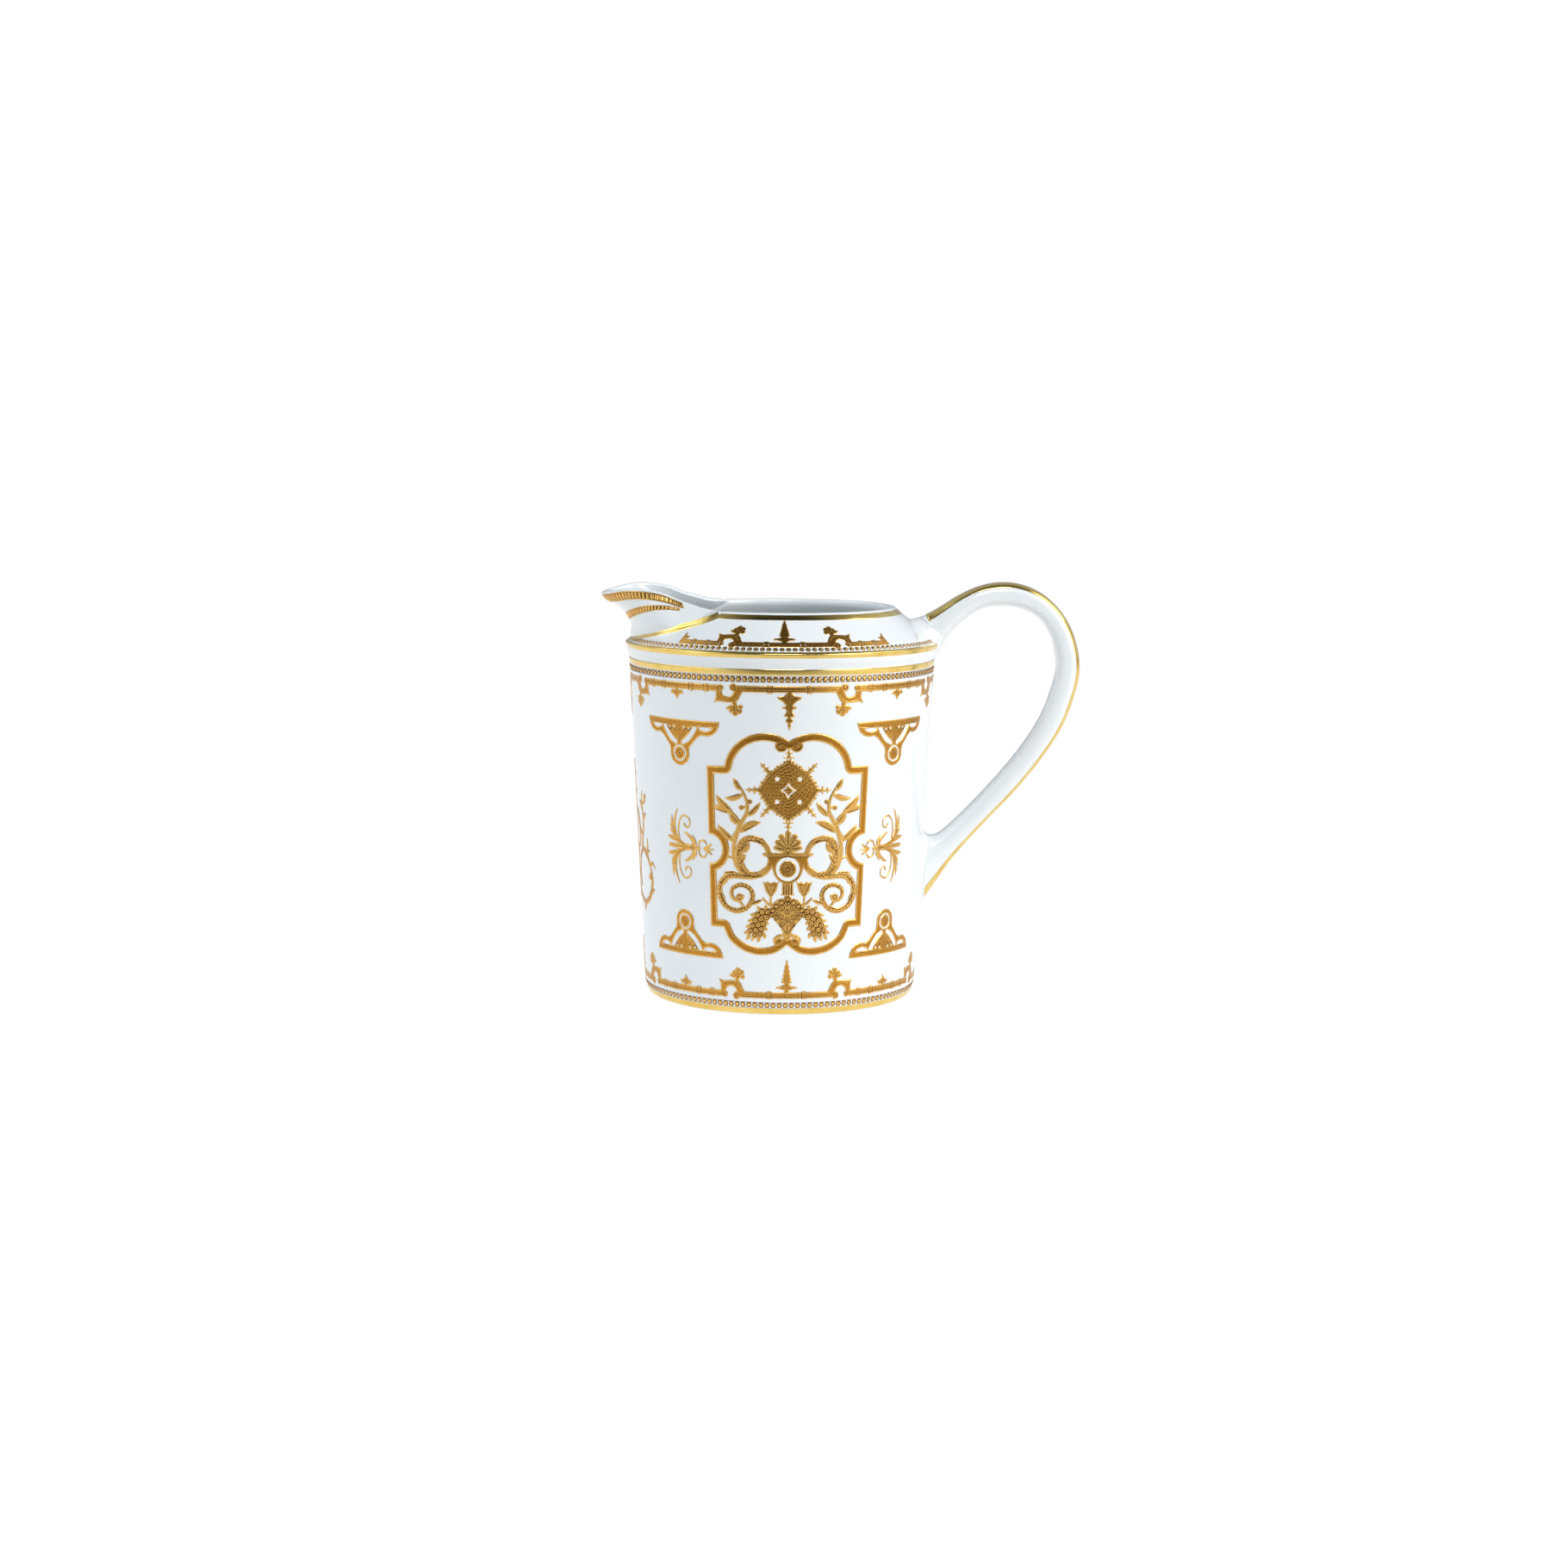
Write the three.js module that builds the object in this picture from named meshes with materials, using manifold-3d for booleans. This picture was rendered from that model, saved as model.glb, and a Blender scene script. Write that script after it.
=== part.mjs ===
// Porcelain cream jug with gilt bands and fired-on gold ornament.
// Millimetres, +Z up. The spout points to -X, the handle to +X, and the front
// cartouche faces -Y. The origin is under the middle of the whole jug's box, on
// the plane that the foot ring stands on.
import * as THREE from 'three';
import { mergeVertices } from 'three/addons/utils/BufferGeometryUtils.js';
import Module from 'manifold-3d';

const wasm = await Module();
wasm.setup();

// ---------------------------------------------------------------- dimensions
const AXIS_X = -14.2;        // the turned body's axis, from the origin
const FACETS = 40;           // facets round the body and every ring on it
const WALL = 2.2;            // porcelain thickness of the wall
const WALL_SLOPE = 0.05088;  // how fast the wall's radius grows with height
const WALL_R8 = 33.21;       // wall radius at a height of 8
const RIDGE_R = 37.95;       // sharp ridge where the shoulder starts
const RIDGE_Z = 85.95;
const RIM_R = 27.75;         // outer edge of the mouth
const RIM_Z = 94.2;
const FLOOR_TOP = 4.6;       // inside of the bottom
const FOOT_IN = 27.6;        // foot ring, inner and outer edge of its face
const FOOT_OUT = 30.9;
const SPOUT_WALL = 2.0;
const GILT_GAP = 0.08;       // glaze between the porcelain and a gold layer
const GILT = 0.18;           // thickness of a gold layer
const BED = 0.35;            // slip bed under the handle's ends and the spout
const HANDLE_W = 4.4;        // half the handle's width, across Y
const ORN_AZ = 2.9;          // the ornament's middle, degrees from -Y to +X

const wallR = (z) => WALL_R8 + WALL_SLOPE * (z - 8);

// outer profile of the body from the foot ring to the mouth, as [radius, height]
const OUTER = [
  [FOOT_OUT, 0], [31.75, 0.3], [32.3, 0.95], [32.68, 1.9], [wallR(3.3), 3.3],
  [wallR(79.4), 79.4], [wallR(81.0), 81.0], [37.02, 82.45], [37.3, 83.5], [37.58, 85.35],
  [RIDGE_R, RIDGE_Z], [37.2, 86.6], [36.25, 87.34],
  [RIM_R, RIM_Z], [27.3, 94.75],
];
const INNER = [
  [26.6, 94.85], [25.85, 94.3], [25.9, 93.1], [34.2, 86.3], [34.65, 84.6], [wallR(81) - WALL, 81.0],
  [wallR(10) - WALL, 10.0], [29.6, 6.9], [26.6, 5.0], [0, FLOOR_TOP],
];
const UNDER = [[0, 2.1], [26.4, 1.7], [FOOT_IN, 0]];

// ------------------------------------------------------------------- helpers
const V = (x, y, z) => new THREE.Vector3(x, y, z);

function clean(geo) {
  const g = new THREE.BufferGeometry();
  g.setAttribute('position', geo.getAttribute('position').clone());
  if (geo.index) g.setIndex(geo.index.clone());
  return mergeVertices(g, 1e-5);
}
function volume(geo) {
  const p = geo.attributes.position, ix = geo.index.array;
  const a = V(), b = V(), c = V();
  let v = 0;
  for (let i = 0; i < ix.length; i += 3) {
    a.fromBufferAttribute(p, ix[i]); b.fromBufferAttribute(p, ix[i + 1]); c.fromBufferAttribute(p, ix[i + 2]);
    v += a.dot(b.cross(c)) / 6;
  }
  return v;
}
function outward(geo) {
  const g = clean(geo);
  if (volume(g) < 0) {
    const ix = g.index.array;
    for (let i = 0; i < ix.length; i += 3) [ix[i + 1], ix[i + 2]] = [ix[i + 2], ix[i + 1]];
  }
  return g;
}
function solid(geo) {
  const g = outward(geo);
  return new wasm.Manifold(new wasm.Mesh({
    numProp: 3,
    vertProperties: new Float32Array(g.attributes.position.array),
    triVerts: new Uint32Array(g.index.array),
  }));
}
function geometry(man) {
  const m = man.getMesh();
  const g = new THREE.BufferGeometry();
  g.setAttribute('position', new THREE.BufferAttribute(new Float32Array(m.vertProperties), 3));
  g.setIndex(new THREE.BufferAttribute(new Uint32Array(m.triVerts), 1));
  return g;
}
// A closed lathe about the body's axis, with its facets' corners at multiples of 360/FACETS.
function lathe(profile, closed = false) {
  const pts = profile.map(([r, z]) => new THREE.Vector2(r, z));
  if (closed) pts.push(pts[0].clone());
  const g = new THREE.LatheGeometry(pts, FACETS);
  g.rotateX(Math.PI / 2);
  return outward(g);
}
// A closed box of segments bent by f(u, v, w), each of them 0 to 1.
function bent(nu, nv, nw, f) {
  const g = clean(new THREE.BoxGeometry(1, 1, 1, nu, nv, nw));
  const p = g.attributes.position;
  for (let i = 0; i < p.count; i++) {
    const q = f(p.getX(i) + 0.5, p.getY(i) + 0.5, p.getZ(i) + 0.5);
    p.setXYZ(i, q.x, q.y, q.z);
  }
  return outward(g);
}
// Ring lying on a stretch of the outer profile, from clearance a to clearance b.
function offsetProfile(points, d) {
  return points.map(([r, z], i) => {
    const p = points[Math.max(i - 1, 0)], n = points[Math.min(i + 1, points.length - 1)];
    let nr = 0, nz = 0, sides = 0;
    for (const [s, e] of [[p, [r, z]], [[r, z], n]]) {
      const dr = e[0] - s[0], dz = e[1] - s[1], l = Math.hypot(dr, dz);
      if (l > 1e-9) { nr += dz / l; nz -= dr / l; sides += 1; }
    }
    const l = Math.hypot(nr, nz);
    const k = d / Math.max(0.5, l / sides);
    return [r + (nr / l) * k, z + (nz / l) * k];
  });
}
const skin = (points, a = GILT_GAP, b = GILT_GAP + GILT) =>
  lathe([...offsetProfile(points, a), ...offsetProfile(points, b).reverse()], true);

// A flat outline in [degrees, height], cut from a thin sleeve of the wall at azimuth az.
function outlineShape(points, holes = []) {
  const flat = (list) => list.map(([a, z]) => new THREE.Vector2(wallR(z) * Math.sin((a * Math.PI) / 180), z));
  const s = new THREE.Shape(flat(points));
  for (const h of holes) s.holes.push(new THREE.Path(flat(h)));
  return s;
}
const sleeve = solid(lathe([
  ...offsetProfile([[wallR(6), 6], [wallR(79), 79]], GILT_GAP),
  ...offsetProfile([[wallR(6), 6], [wallR(79), 79]], GILT_GAP + GILT).reverse(),
], true));
function prism(shapes, az) {
  let all = null;
  for (const s of shapes) {
    const g = new THREE.ExtrudeGeometry(s, { depth: 60, bevelEnabled: false, curveSegments: 6 });
    g.rotateX(Math.PI / 2);                 // the outline stands up, its depth runs towards -Y
    g.rotateZ((az * Math.PI) / 180);
    const m = solid(g);
    all = all ? all.add(m) : m;
  }
  return all;
}
const onWall = (shapes, az, cut = null) => {
  const p = prism(shapes, az);
  return geometry(sleeve.intersect(cut ? p.subtract(prism(cut, az)) : p));
};
const ellipse = (a0, z0, ra, rz, n = 16) => Array.from({ length: n }, (_, i) => {
  const t = (i / n) * 2 * Math.PI;
  return [a0 + ra * Math.cos(t), z0 + rz * Math.sin(t)];
});
const mirror = (points) => points.map(([a, z]) => [-a, z]).reverse();
const ringOutline = (a0, z0, r, w, n = 8) => {
  const k = 180 / Math.PI / wallR(z0);
  return outlineShape(ellipse(a0, z0, r * k, r, n), [ellipse(a0, z0, (r - w) * k, r - w, n)]);
};

// ------------------------------------------------------------------ finishes
const porcelain = () => new THREE.MeshStandardMaterial({ color: 0xf4f6f6, roughness: 0.12, metalness: 0 });
const gilt = () => new THREE.MeshStandardMaterial({ color: 0xd9a93a, roughness: 0.18, metalness: 1 });
const transfer = () => new THREE.MeshStandardMaterial({ color: 0xc08a3a, roughness: 0.34, metalness: 1 });

const jug = new THREE.Group();
jug.position.set(AXIS_X, 0, 0);
const add = (name, geo, mat) => {
  const m = new THREE.Mesh(geo, mat);
  m.name = name;
  jug.add(m);
};

// --------------------------------------------------------------------- spout
// Stations from the mouth's edge (0) to the middle of the lip (8): azimuth from
// -X and radius of the seam on the shoulder, then the lip's x, y and z.
const SPOUT = [
  [58.7, 27.75, -14.4, 23.7, 94.75], [53, 29.4, -19.0, 20.3, 95.6], [46, 31.1, -24.0, 17.6, 96.8],
  [38, 32.6, -29.0, 15.9, 98.3], [30, 33.9, -34.0, 14.2, 99.2], [22, 35.0, -38.0, 11.6, 99.1],
  [14, 35.9, -41.3, 7.8, 98.5], [7, 36.5, -43.2, 3.9, 98.1], [0, 36.8, -43.9, 0, 97.9],
];
const FLARE = [[0, 0], [0.06, 0.02], [0.18, 0.0], [0.3, -0.03], [0.41, 0.036], [0.53, 0.13], [0.645, 0.284], [0.76, 0.6], [0.88, 0.93], [1, 1]];
const lerpTable = (table, x) => {
  for (let i = 1; i < table.length; i++) {
    if (x <= table[i][0]) {
      const [a, b] = [table[i - 1], table[i]];
      const t = (x - a[0]) / (b[0] - a[0]);
      return a[1] + (b[1] - a[1]) * t;
    }
  }
  return table[table.length - 1][1];
};
const shoulderZ = (r) => RIDGE_Z + (RIDGE_R - r) * ((RIM_Z - RIDGE_Z) / (RIDGE_R - RIM_R));
const seamCurve = new THREE.CatmullRomCurve3([
  ...SPOUT.map(([az, r]) => V(-r * Math.cos((az * Math.PI) / 180), -r * Math.sin((az * Math.PI) / 180), shoulderZ(r))),
  ...SPOUT.slice(0, -1).reverse().map(([az, r]) => V(-r * Math.cos((az * Math.PI) / 180), r * Math.sin((az * Math.PI) / 180), shoulderZ(r))),
]);
const lipCurve = new THREE.CatmullRomCurve3([
  ...SPOUT.map(([, , x, y, z]) => V(x, -y, z)),
  ...SPOUT.slice(0, -1).reverse().map(([, , x, y, z]) => V(x, y, z)),
]);
// inward direction in plan at t, square to the seam
function inwardAt(curve, t) {
  const a = curve.getPoint(Math.max(t - 0.01, 0)), b = curve.getPoint(Math.min(t + 0.01, 1));
  const d = V(b.x - a.x, b.y - a.y, 0).normalize();
  return V(d.y, -d.x, 0);
}
function spoutOuter(t, v) {
  const B = seamCurve.getPoint(t), T = lipCurve.getPoint(t);
  const front = Math.max(0, 1 - Math.abs(t - 0.5) * 2.6);
  const e = lerpTable(FLARE, v) * front + v * (1 - front);
  B.z += BED;
  return V(B.x + (T.x - B.x) * e, B.y + (T.y - B.y) * e, B.z + (T.z - B.z) * v);
}
// a point of the spout, from its outer face (depth 0) inwards
function spoutPoint(t, v, depth) {
  const P = spoutOuter(t, v);
  if (depth === 0) return P;
  const across = spoutOuter(Math.min(t + 0.02, 1), v).sub(spoutOuter(Math.max(t - 0.02, 0), v));
  const up = spoutOuter(t, Math.min(v + 0.08, 1)).sub(spoutOuter(t, Math.max(v - 0.08, 0)));
  const n = across.cross(up).normalize();
  const flat = inwardAt(seamCurve, t);
  const low = Math.max(1 - v * 2.2, Math.abs(t - 0.5) > 0.42 ? 1 : 0);
  const dir = n.multiplyScalar(1 - low).addScaledVector(flat, low);
  const Q = P.clone().addScaledVector(dir, depth * (1 - 0.2 * v));
  if (low > 0) {
    const rise = shoulderZ(Math.min(Math.hypot(Q.x, Q.y), RIDGE_R)) + BED;
    Q.z = Math.max(Q.z, rise + v * (P.z - seamCurve.getPoint(t).z - BED) * 0.2);
  }
  return Q;
}
const SPOUT_T = 24, SPOUT_V = 8;
const spoutShell = bent(SPOUT_T, SPOUT_V, 1, (u, v, w) => spoutPoint(u, v, SPOUT_WALL * (1 - w)));

// ---------------------------------------------------------------------- body
const bodyFull = solid(lathe([...UNDER, ...OUTER, ...INNER]));
// the way out to the spout: everything above the shoulder inside the spout's inner seam
const wayOut = [];
for (let i = 0; i <= 24; i++) {
  const t = i / 24;
  const p = seamCurve.getPoint(t).addScaledVector(inwardAt(seamCurve, t), SPOUT_WALL + 0.05);
  wayOut.push(new THREE.Vector2(p.x, p.y));
}
wayOut.push(new THREE.Vector2(-6, 6), new THREE.Vector2(-6, -6));
const cutter = new THREE.ExtrudeGeometry(new THREE.Shape(wayOut), { depth: 20, bevelEnabled: false });
cutter.translate(0, 0, 84.6);
add('body', geometry(bodyFull.subtract(solid(cutter))), porcelain());

const spoutSolid = solid(spoutShell);
// the spout stands clear of the shoulder and the mouth's edge
const clearance = solid(lathe([[0, -2], [36, -2], ...offsetProfile(OUTER.slice(4), BED), [0, 97]]));
add('spout', geometry(spoutSolid), porcelain());
const bedRow = (t, depth, lift) => {
  const B = seamCurve.getPoint(t).addScaledVector(inwardAt(seamCurve, t), depth);
  B.z = shoulderZ(Math.hypot(B.x, B.y)) + lift;
  return B;
};
add('spout_slip_joint', bent(24, 1, 1, (u, v, w) => bedRow(0.03 + 0.94 * u, 0.25 + 1.3 * v, 0.1 + 0.12 * w)), porcelain());

// -------------------------------------------------------------------- handle
// pairs of points on the handle's outer and inner side, in the XZ plane
const HANDLE = [
  [30.6, 91.0, 34.6, 75.6], [33.4, 92.2, 37.4, 82.4], [36.0, 93.3, 39.5, 86.3], [38.6, 94.8, 41.6, 89.2], [42.66, 97.4, 45.6, 92.8],
  [47.5, 99.65, 49.3, 94.75], [52.64, 100.7, 52.9, 95.15], [57.8, 100.25, 56.3, 94.95], [62.7, 98.2, 59.9, 93.75],
  [66.8, 94.7, 62.9, 91.6], [70.0, 89.9, 65.3, 87.7], [71.9, 84.0, 66.4, 83.2], [72.25, 79.0, 66.5, 79.3],
  [71.0, 73.0, 65.5, 74.8], [68.2, 65.6, 63.1, 68.4], [63.4, 58.0, 58.6, 61.0], [57.3, 50.3, 52.9, 53.8],
  [50.5, 43.0, 46.0, 46.2], [45.0, 36.9, 40.4, 40.7], [41.2, 32.2, 37.6, 38.9], [38.0, 27.4, 35.6, 39.2],
  [34.9, 22.9, 33.9, 40.4], [32.6, 20.0, 32.0, 41.6],
];
const outerSide = new THREE.CatmullRomCurve3(HANDLE.map(([x, z]) => V(x, 0, z)));
const innerSide = new THREE.CatmullRomCurve3(HANDLE.map(([, , x, z]) => V(x, 0, z)));
const HANDLE_STEPS = 38, HANDLE_SIDES = 12, HANDLE_POWER = 2 / 2.6;
const handleWidth = (u) => HANDLE_W + 1.3 * Math.max(0, 1 - u / 0.1) ** 2 + 1.5 * Math.max(0, (u - 0.82) / 0.18) ** 2;
const bend = (c) => Math.sign(c) * Math.abs(c) ** HANDLE_POWER;
function handlePoint(u, theta, grow = 0) {
  const O = outerSide.getPoint(u), I = innerSide.getPoint(u);
  const C = O.clone().add(I).multiplyScalar(0.5);
  const n = O.clone().sub(I);
  const h = n.length() / 2 + grow;
  n.normalize();
  const w = handleWidth(u) + grow;
  return C.addScaledVector(n, h * bend(Math.sin(theta))).add(V(0, w * bend(Math.cos(theta)), 0));
}
function loft(steps, grow) {
  const g = clean(new THREE.CylinderGeometry(1, 1, 1, HANDLE_SIDES, steps));
  const p = g.attributes.position;
  for (let i = 0; i < p.count; i++) {
    const u = 0.5 - p.getY(i), x = p.getX(i), y = p.getZ(i);
    let q;
    if (Math.hypot(x, y) < 0.5) q = outerSide.getPoint(u).add(innerSide.getPoint(u)).multiplyScalar(0.5);
    else q = handlePoint(u, Math.atan2(y, x), grow);
    p.setXYZ(i, q.x, q.y, q.z);
  }
  return solid(g);
}
add('handle', geometry(loft(HANDLE_STEPS, 0).subtract(clearance)), porcelain());
const slipShell = solid(lathe([
  ...offsetProfile(OUTER.slice(4, 14), 0.1), ...offsetProfile(OUTER.slice(4, 14), 0.26).reverse(),
], true));
const footprint = loft(HANDLE_STEPS, 0.5).intersect(slipShell);
const half = (lo, hi) => {
  const g = new THREE.BoxGeometry(60, 40, hi - lo);
  g.translate(40, 0, (lo + hi) / 2);
  return solid(g);
};
add('handle_upper_slip_joint', geometry(footprint.intersect(half(60, 99))), porcelain());
add('handle_lower_slip_joint', geometry(footprint.intersect(half(10, 60))), porcelain());
// gold stripe down the middle of the handle's back
add('handle_gilt_stripe', bent(HANDLE_STEPS - 6, 2, 1, (u, v, w) => {
  const s = (3 + u * (HANDLE_STEPS - 6)) / HANDLE_STEPS;
  const theta = Math.PI / 3 + (v * Math.PI) / 3;
  return handlePoint(s, theta, GILT_GAP + GILT * w);
}), gilt());

// --------------------------------------------------------- gilt bands, beads
add('foot_gilt_band', skin([OUTER[1], OUTER[2], OUTER[3]]), gilt());
add('foot_bead_row', skin([[wallR(3.5), 3.5], [wallR(4.6), 4.6]].map(([r, z]) => [r, z - 0.1])), transfer());
// the lines on the shoulder stop at the spout and at the handle
const along = (k) => [OUTER[12][0] + (RIM_R - OUTER[12][0]) * k, OUTER[12][1] + (RIM_Z - OUTER[12][1]) * k];
const spoutClear = (() => {
  const s = [];
  for (let i = 0; i <= 24; i++) {
    const t = i / 24;
    const p = seamCurve.getPoint(t).addScaledVector(inwardAt(seamCurve, t), -1.15);
    s.push(new THREE.Vector2(p.x, p.y));
  }
  s.push(new THREE.Vector2(-4, 20), new THREE.Vector2(-4, -20));
  const g = new THREE.ExtrudeGeometry(new THREE.Shape(s), { depth: 30, bevelEnabled: false });
  g.translate(0, 0, 80);
  return solid(g);
})();
const handleClear = loft(HANDLE_STEPS, 0.9);
const cutRing = (geo) => geometry(solid(geo).subtract(spoutClear).subtract(handleClear));
const cutByHandle = (geo) => geometry(solid(geo).subtract(handleClear));
add('upper_gilt_band', cutByHandle(skin([[wallR(81.0), 81.0], OUTER[7]])), gilt());
add('upper_bead_row', cutByHandle(skin([[wallR(79.5), 79.5], [wallR(80.7), 80.7]])), transfer());
add('collar_gilt_band', cutByHandle(skin([OUTER[9], OUTER[10]])), gilt());
add('mouth_gilt_line', cutRing(skin([along(0.86), along(0.985)])), gilt());
for (const [side, y] of [['front', -30], ['back', 30]]) {
  const g = new THREE.BoxGeometry(100, 60, 40);
  g.translate(0, y, 90);
  const box = solid(g);
  const part = (geo) => geometry(solid(geo).subtract(spoutClear).subtract(handleClear).intersect(box));
  add(`${side}_shoulder_bead_row`, part(skin([[37.1, 86.68], OUTER[12]])), transfer());
  add(`${side}_shoulder_strapwork`, part(skin([along(0.04), along(0.14)])), transfer());
}

// gold line along the spout's seam, and the two roped bands under its lip
add('spout_seam_gilt_line', bent(30, 1, 1, (u, v, w) => {
  const t = 0.015 + 0.97 * u;
  const B = seamCurve.getPoint(t).addScaledVector(inwardAt(seamCurve, t), -0.12 - 0.85 * v);
  B.z = shoulderZ(Math.min(Math.hypot(B.x, B.y), RIDGE_R)) + GILT_GAP + 0.04 + GILT * w;
  return B;
}), gilt());
function ropeBand(first, last, v0, v1) {
  return bent(last - first, 1, 1, (u, v, w) => {
    const t = (first + (last - first) * u) / SPOUT_T, k = v0 + (v1 - v0) * v;
    const across = spoutPoint(Math.min(t + 0.02, 1), k, 0).sub(spoutPoint(Math.max(t - 0.02, 0), k, 0));
    const up = spoutPoint(t, k + 0.04, 0).sub(spoutPoint(t, k - 0.04, 0));
    const n = across.cross(up).normalize();
    return spoutPoint(t, k, 0).addScaledVector(n, -(GILT_GAP + 0.06 + GILT * w));
  });
}
add('spout_lip_rope', ropeBand(5, 19, 0.75, 0.875), transfer());
add('spout_throat_rope', ropeBand(6, 18, 0.375, 0.5), transfer());

// ------------------------------------------------- friezes and wall ornament
add('upper_strapwork', cutByHandle(skin([[wallR(76.9), 76.9], [wallR(78.4), 78.4]])), transfer());
add('foot_strapwork', skin([[wallR(5.2), 5.2], [wallR(6.6), 6.6]]), transfer());

// cartouche: outline of one half, [degrees from its middle, height]
const FRAME_W = 1.7;
const frameHalf = [
  [0, 65.4], [3.6, 67.0], [9.2, 67.5], [13.6, 66.9], [18.3, 65.2], [22.3, 62.5], [25.2, 59.5],
  [32.0, 59.4], [32.0, 42.7], [29.0, 42.6], [26.0, 41.6], [24.2, 39.7], [26.0, 37.6], [29.0, 36.6], [32.2, 36.5],
  [31.6, 21.2], [25.0, 21.0], [22.6, 18.4], [17.4, 15.6], [9.6, 14.5], [2.0, 15.6],
];
function inset(points, d) {
  const n = points.length;
  const k = (z) => (wallR(z) * Math.PI) / 180;
  const q = points.map(([a, z]) => [a * k(z), z]);
  const out = q.map((p, i) => {
    const a = q[(i + n - 1) % n], b = q[(i + 1) % n];
    const d1 = [p[0] - a[0], p[1] - a[1]], d2 = [b[0] - p[0], b[1] - p[1]];
    const l1 = Math.hypot(...d1), l2 = Math.hypot(...d2);
    const n1 = [d1[1] / l1, -d1[0] / l1], n2 = [d2[1] / l2, -d2[0] / l2];
    const m = [n1[0] + n2[0], n1[1] + n2[1]];
    const c = 1 + n1[0] * n2[0] + n1[1] * n2[1];
    return [p[0] + (m[0] / Math.max(c, 0.4)) * d, p[1] + (m[1] / Math.max(c, 0.4)) * d];
  });
  return out.map(([x, z]) => [x / k(z), z]);
}
const frameOutline = [...frameHalf, ...mirror(frameHalf.slice(1))];
const frameInner = inset(frameOutline, FRAME_W);
// stem, medallion and basket are joined solids; scrolls are flat rings
const medallion = [[0, 60.9], [7.6, 59.4], [10.4, 54.1], [7.6, 48.8], [0, 47.3], [-7.6, 48.8], [-10.4, 54.1], [-7.6, 59.4]].reverse();
const stem = [[0.9, 63.4], [0.9, 27.0], [-0.9, 27.0], [-0.9, 63.4]];
const fan = [[1.2, 39.9], [4.6, 40.6], [4.3, 43.0], [2.4, 44.4], [0, 44.9], [-2.4, 44.4], [-4.3, 43.0], [-4.6, 40.6], [-1.2, 39.9]];
const bar = [[7.6, 38.9], [7.6, 37.9], [-7.6, 37.9], [-7.6, 38.9]];
const basket = [[2.2, 20.4], [6.4, 24.6], [6.0, 27.0], [2.5, 28.3], [-2.5, 28.3], [-6.0, 27.0], [-6.4, 24.6], [-2.2, 20.4]];
const link = [[16.4, 36.4], [19.6, 35.4], [22.4, 32.4], [20.0, 31.6], [17.6, 33.8], [15.0, 34.6]];
const festoon = [[5.4, 26.2], [13.0, 24.6], [17.4, 21.8], [16.6, 19.2], [12.2, 19.4], [9.2, 22.6]];
const branch = [[13.2, 42.3], [15.6, 42.6], [18.6, 47.6], [22.0, 50.6], [20.6, 53.0], [22.4, 57.4], [18.0, 56.6], [16.8, 51.6], [13.8, 49.2], [14.8, 46.4]];
const ornamentShapes = () => [
  outlineShape(medallion), outlineShape(stem), outlineShape(fan), outlineShape(bar), outlineShape(basket),
  outlineShape(link), outlineShape(mirror(link)), outlineShape(festoon), outlineShape(mirror(festoon)), outlineShape(branch), outlineShape(mirror(branch)),
  ringOutline(0, 35.4, 3.4, 1.2),
  ringOutline(12.7, 38.7, 4.3, 1.3), ringOutline(-12.7, 38.7, 4.3, 1.3),
  ringOutline(19.7, 28.4, 4.3, 1.3), ringOutline(-19.7, 28.4, 4.3, 1.3),
];
const bracketUp = [[-18.0, 69.7], [18.0, 69.7], [18.0, 68.2], [13.2, 67.2], [10.0, 66.6], [6.4, 62.4], [3.4, 59.4], [0, 58.5], [-3.4, 59.4], [-6.4, 62.4], [-10.0, 66.6], [-13.2, 67.2], [-18.0, 68.2]].reverse();
const bracketHole = [[-8.6, 68.2], [8.6, 68.2], [3.0, 64.6], [-3.0, 64.6]].reverse();
const downBracket = (list) => list.map(([a, z]) => [a, 83.2 - z]).reverse();
const palmette = [[-7.6, 39.4], [-5.0, 41.6], [-1.0, 41.2], [2.0, 44.0], [1.0, 47.4], [5.6, 46.8], [6.8, 43.6], [8.6, 39.4], [6.8, 35.2], [5.6, 32.2], [1.0, 31.4], [2.0, 34.8], [-1.0, 37.6], [-5.0, 37.2]];
// tall spray, lying under the spout and under the handle's grip
const spray = [[0, 56.0], [2.0, 52.0], [1.6, 47.0], [6.0, 43.0], [12.0, 40.6], [20.0, 36.6], [27.0, 32.4], [24.0, 27.0], [16.0, 23.0], [6.0, 24.0], [0, 21.6],
  [-6.0, 24.0], [-16.0, 23.0], [-24.0, 27.0], [-27.0, 32.4], [-20.0, 36.6], [-12.0, 40.6], [-6.0, 43.0], [-1.6, 47.0], [-2.0, 52.0]].reverse();

for (const [side, az] of [['front', ORN_AZ], ['back', 180 + ORN_AZ]]) {
  add(`${side}_cartouche_frame`, onWall([outlineShape(frameOutline)], az, [outlineShape(frameInner)]), transfer());
  add(`${side}_cartouche_ornament`, onWall(ornamentShapes(), az), transfer());
  for (const [hand, da] of [['left', -44.5], ['right', 44.5]]) {
    add(`${side}_upper_${hand}_bracket`, onWall([outlineShape(bracketUp)], az + da, [outlineShape(bracketHole)]), transfer());
    add(`${side}_lower_${hand}_bracket`, onWall([outlineShape(downBracket(bracketUp))], az + da, [outlineShape(downBracket(bracketHole))]), transfer());
    const p = hand === 'left' ? palmette.map(([a, z]) => [-a, z]) : palmette;
    add(`${side}_${hand}_palmette`, onWall([outlineShape(p)], az + Math.sign(da) * 41.8), transfer());
  }
}
add('spout_side_spray', onWall([outlineShape(spray)], -90 + ORN_AZ), transfer());

export default jug;
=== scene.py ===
import math
import bpy
import numpy as np
from mathutils import Matrix, Vector


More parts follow.
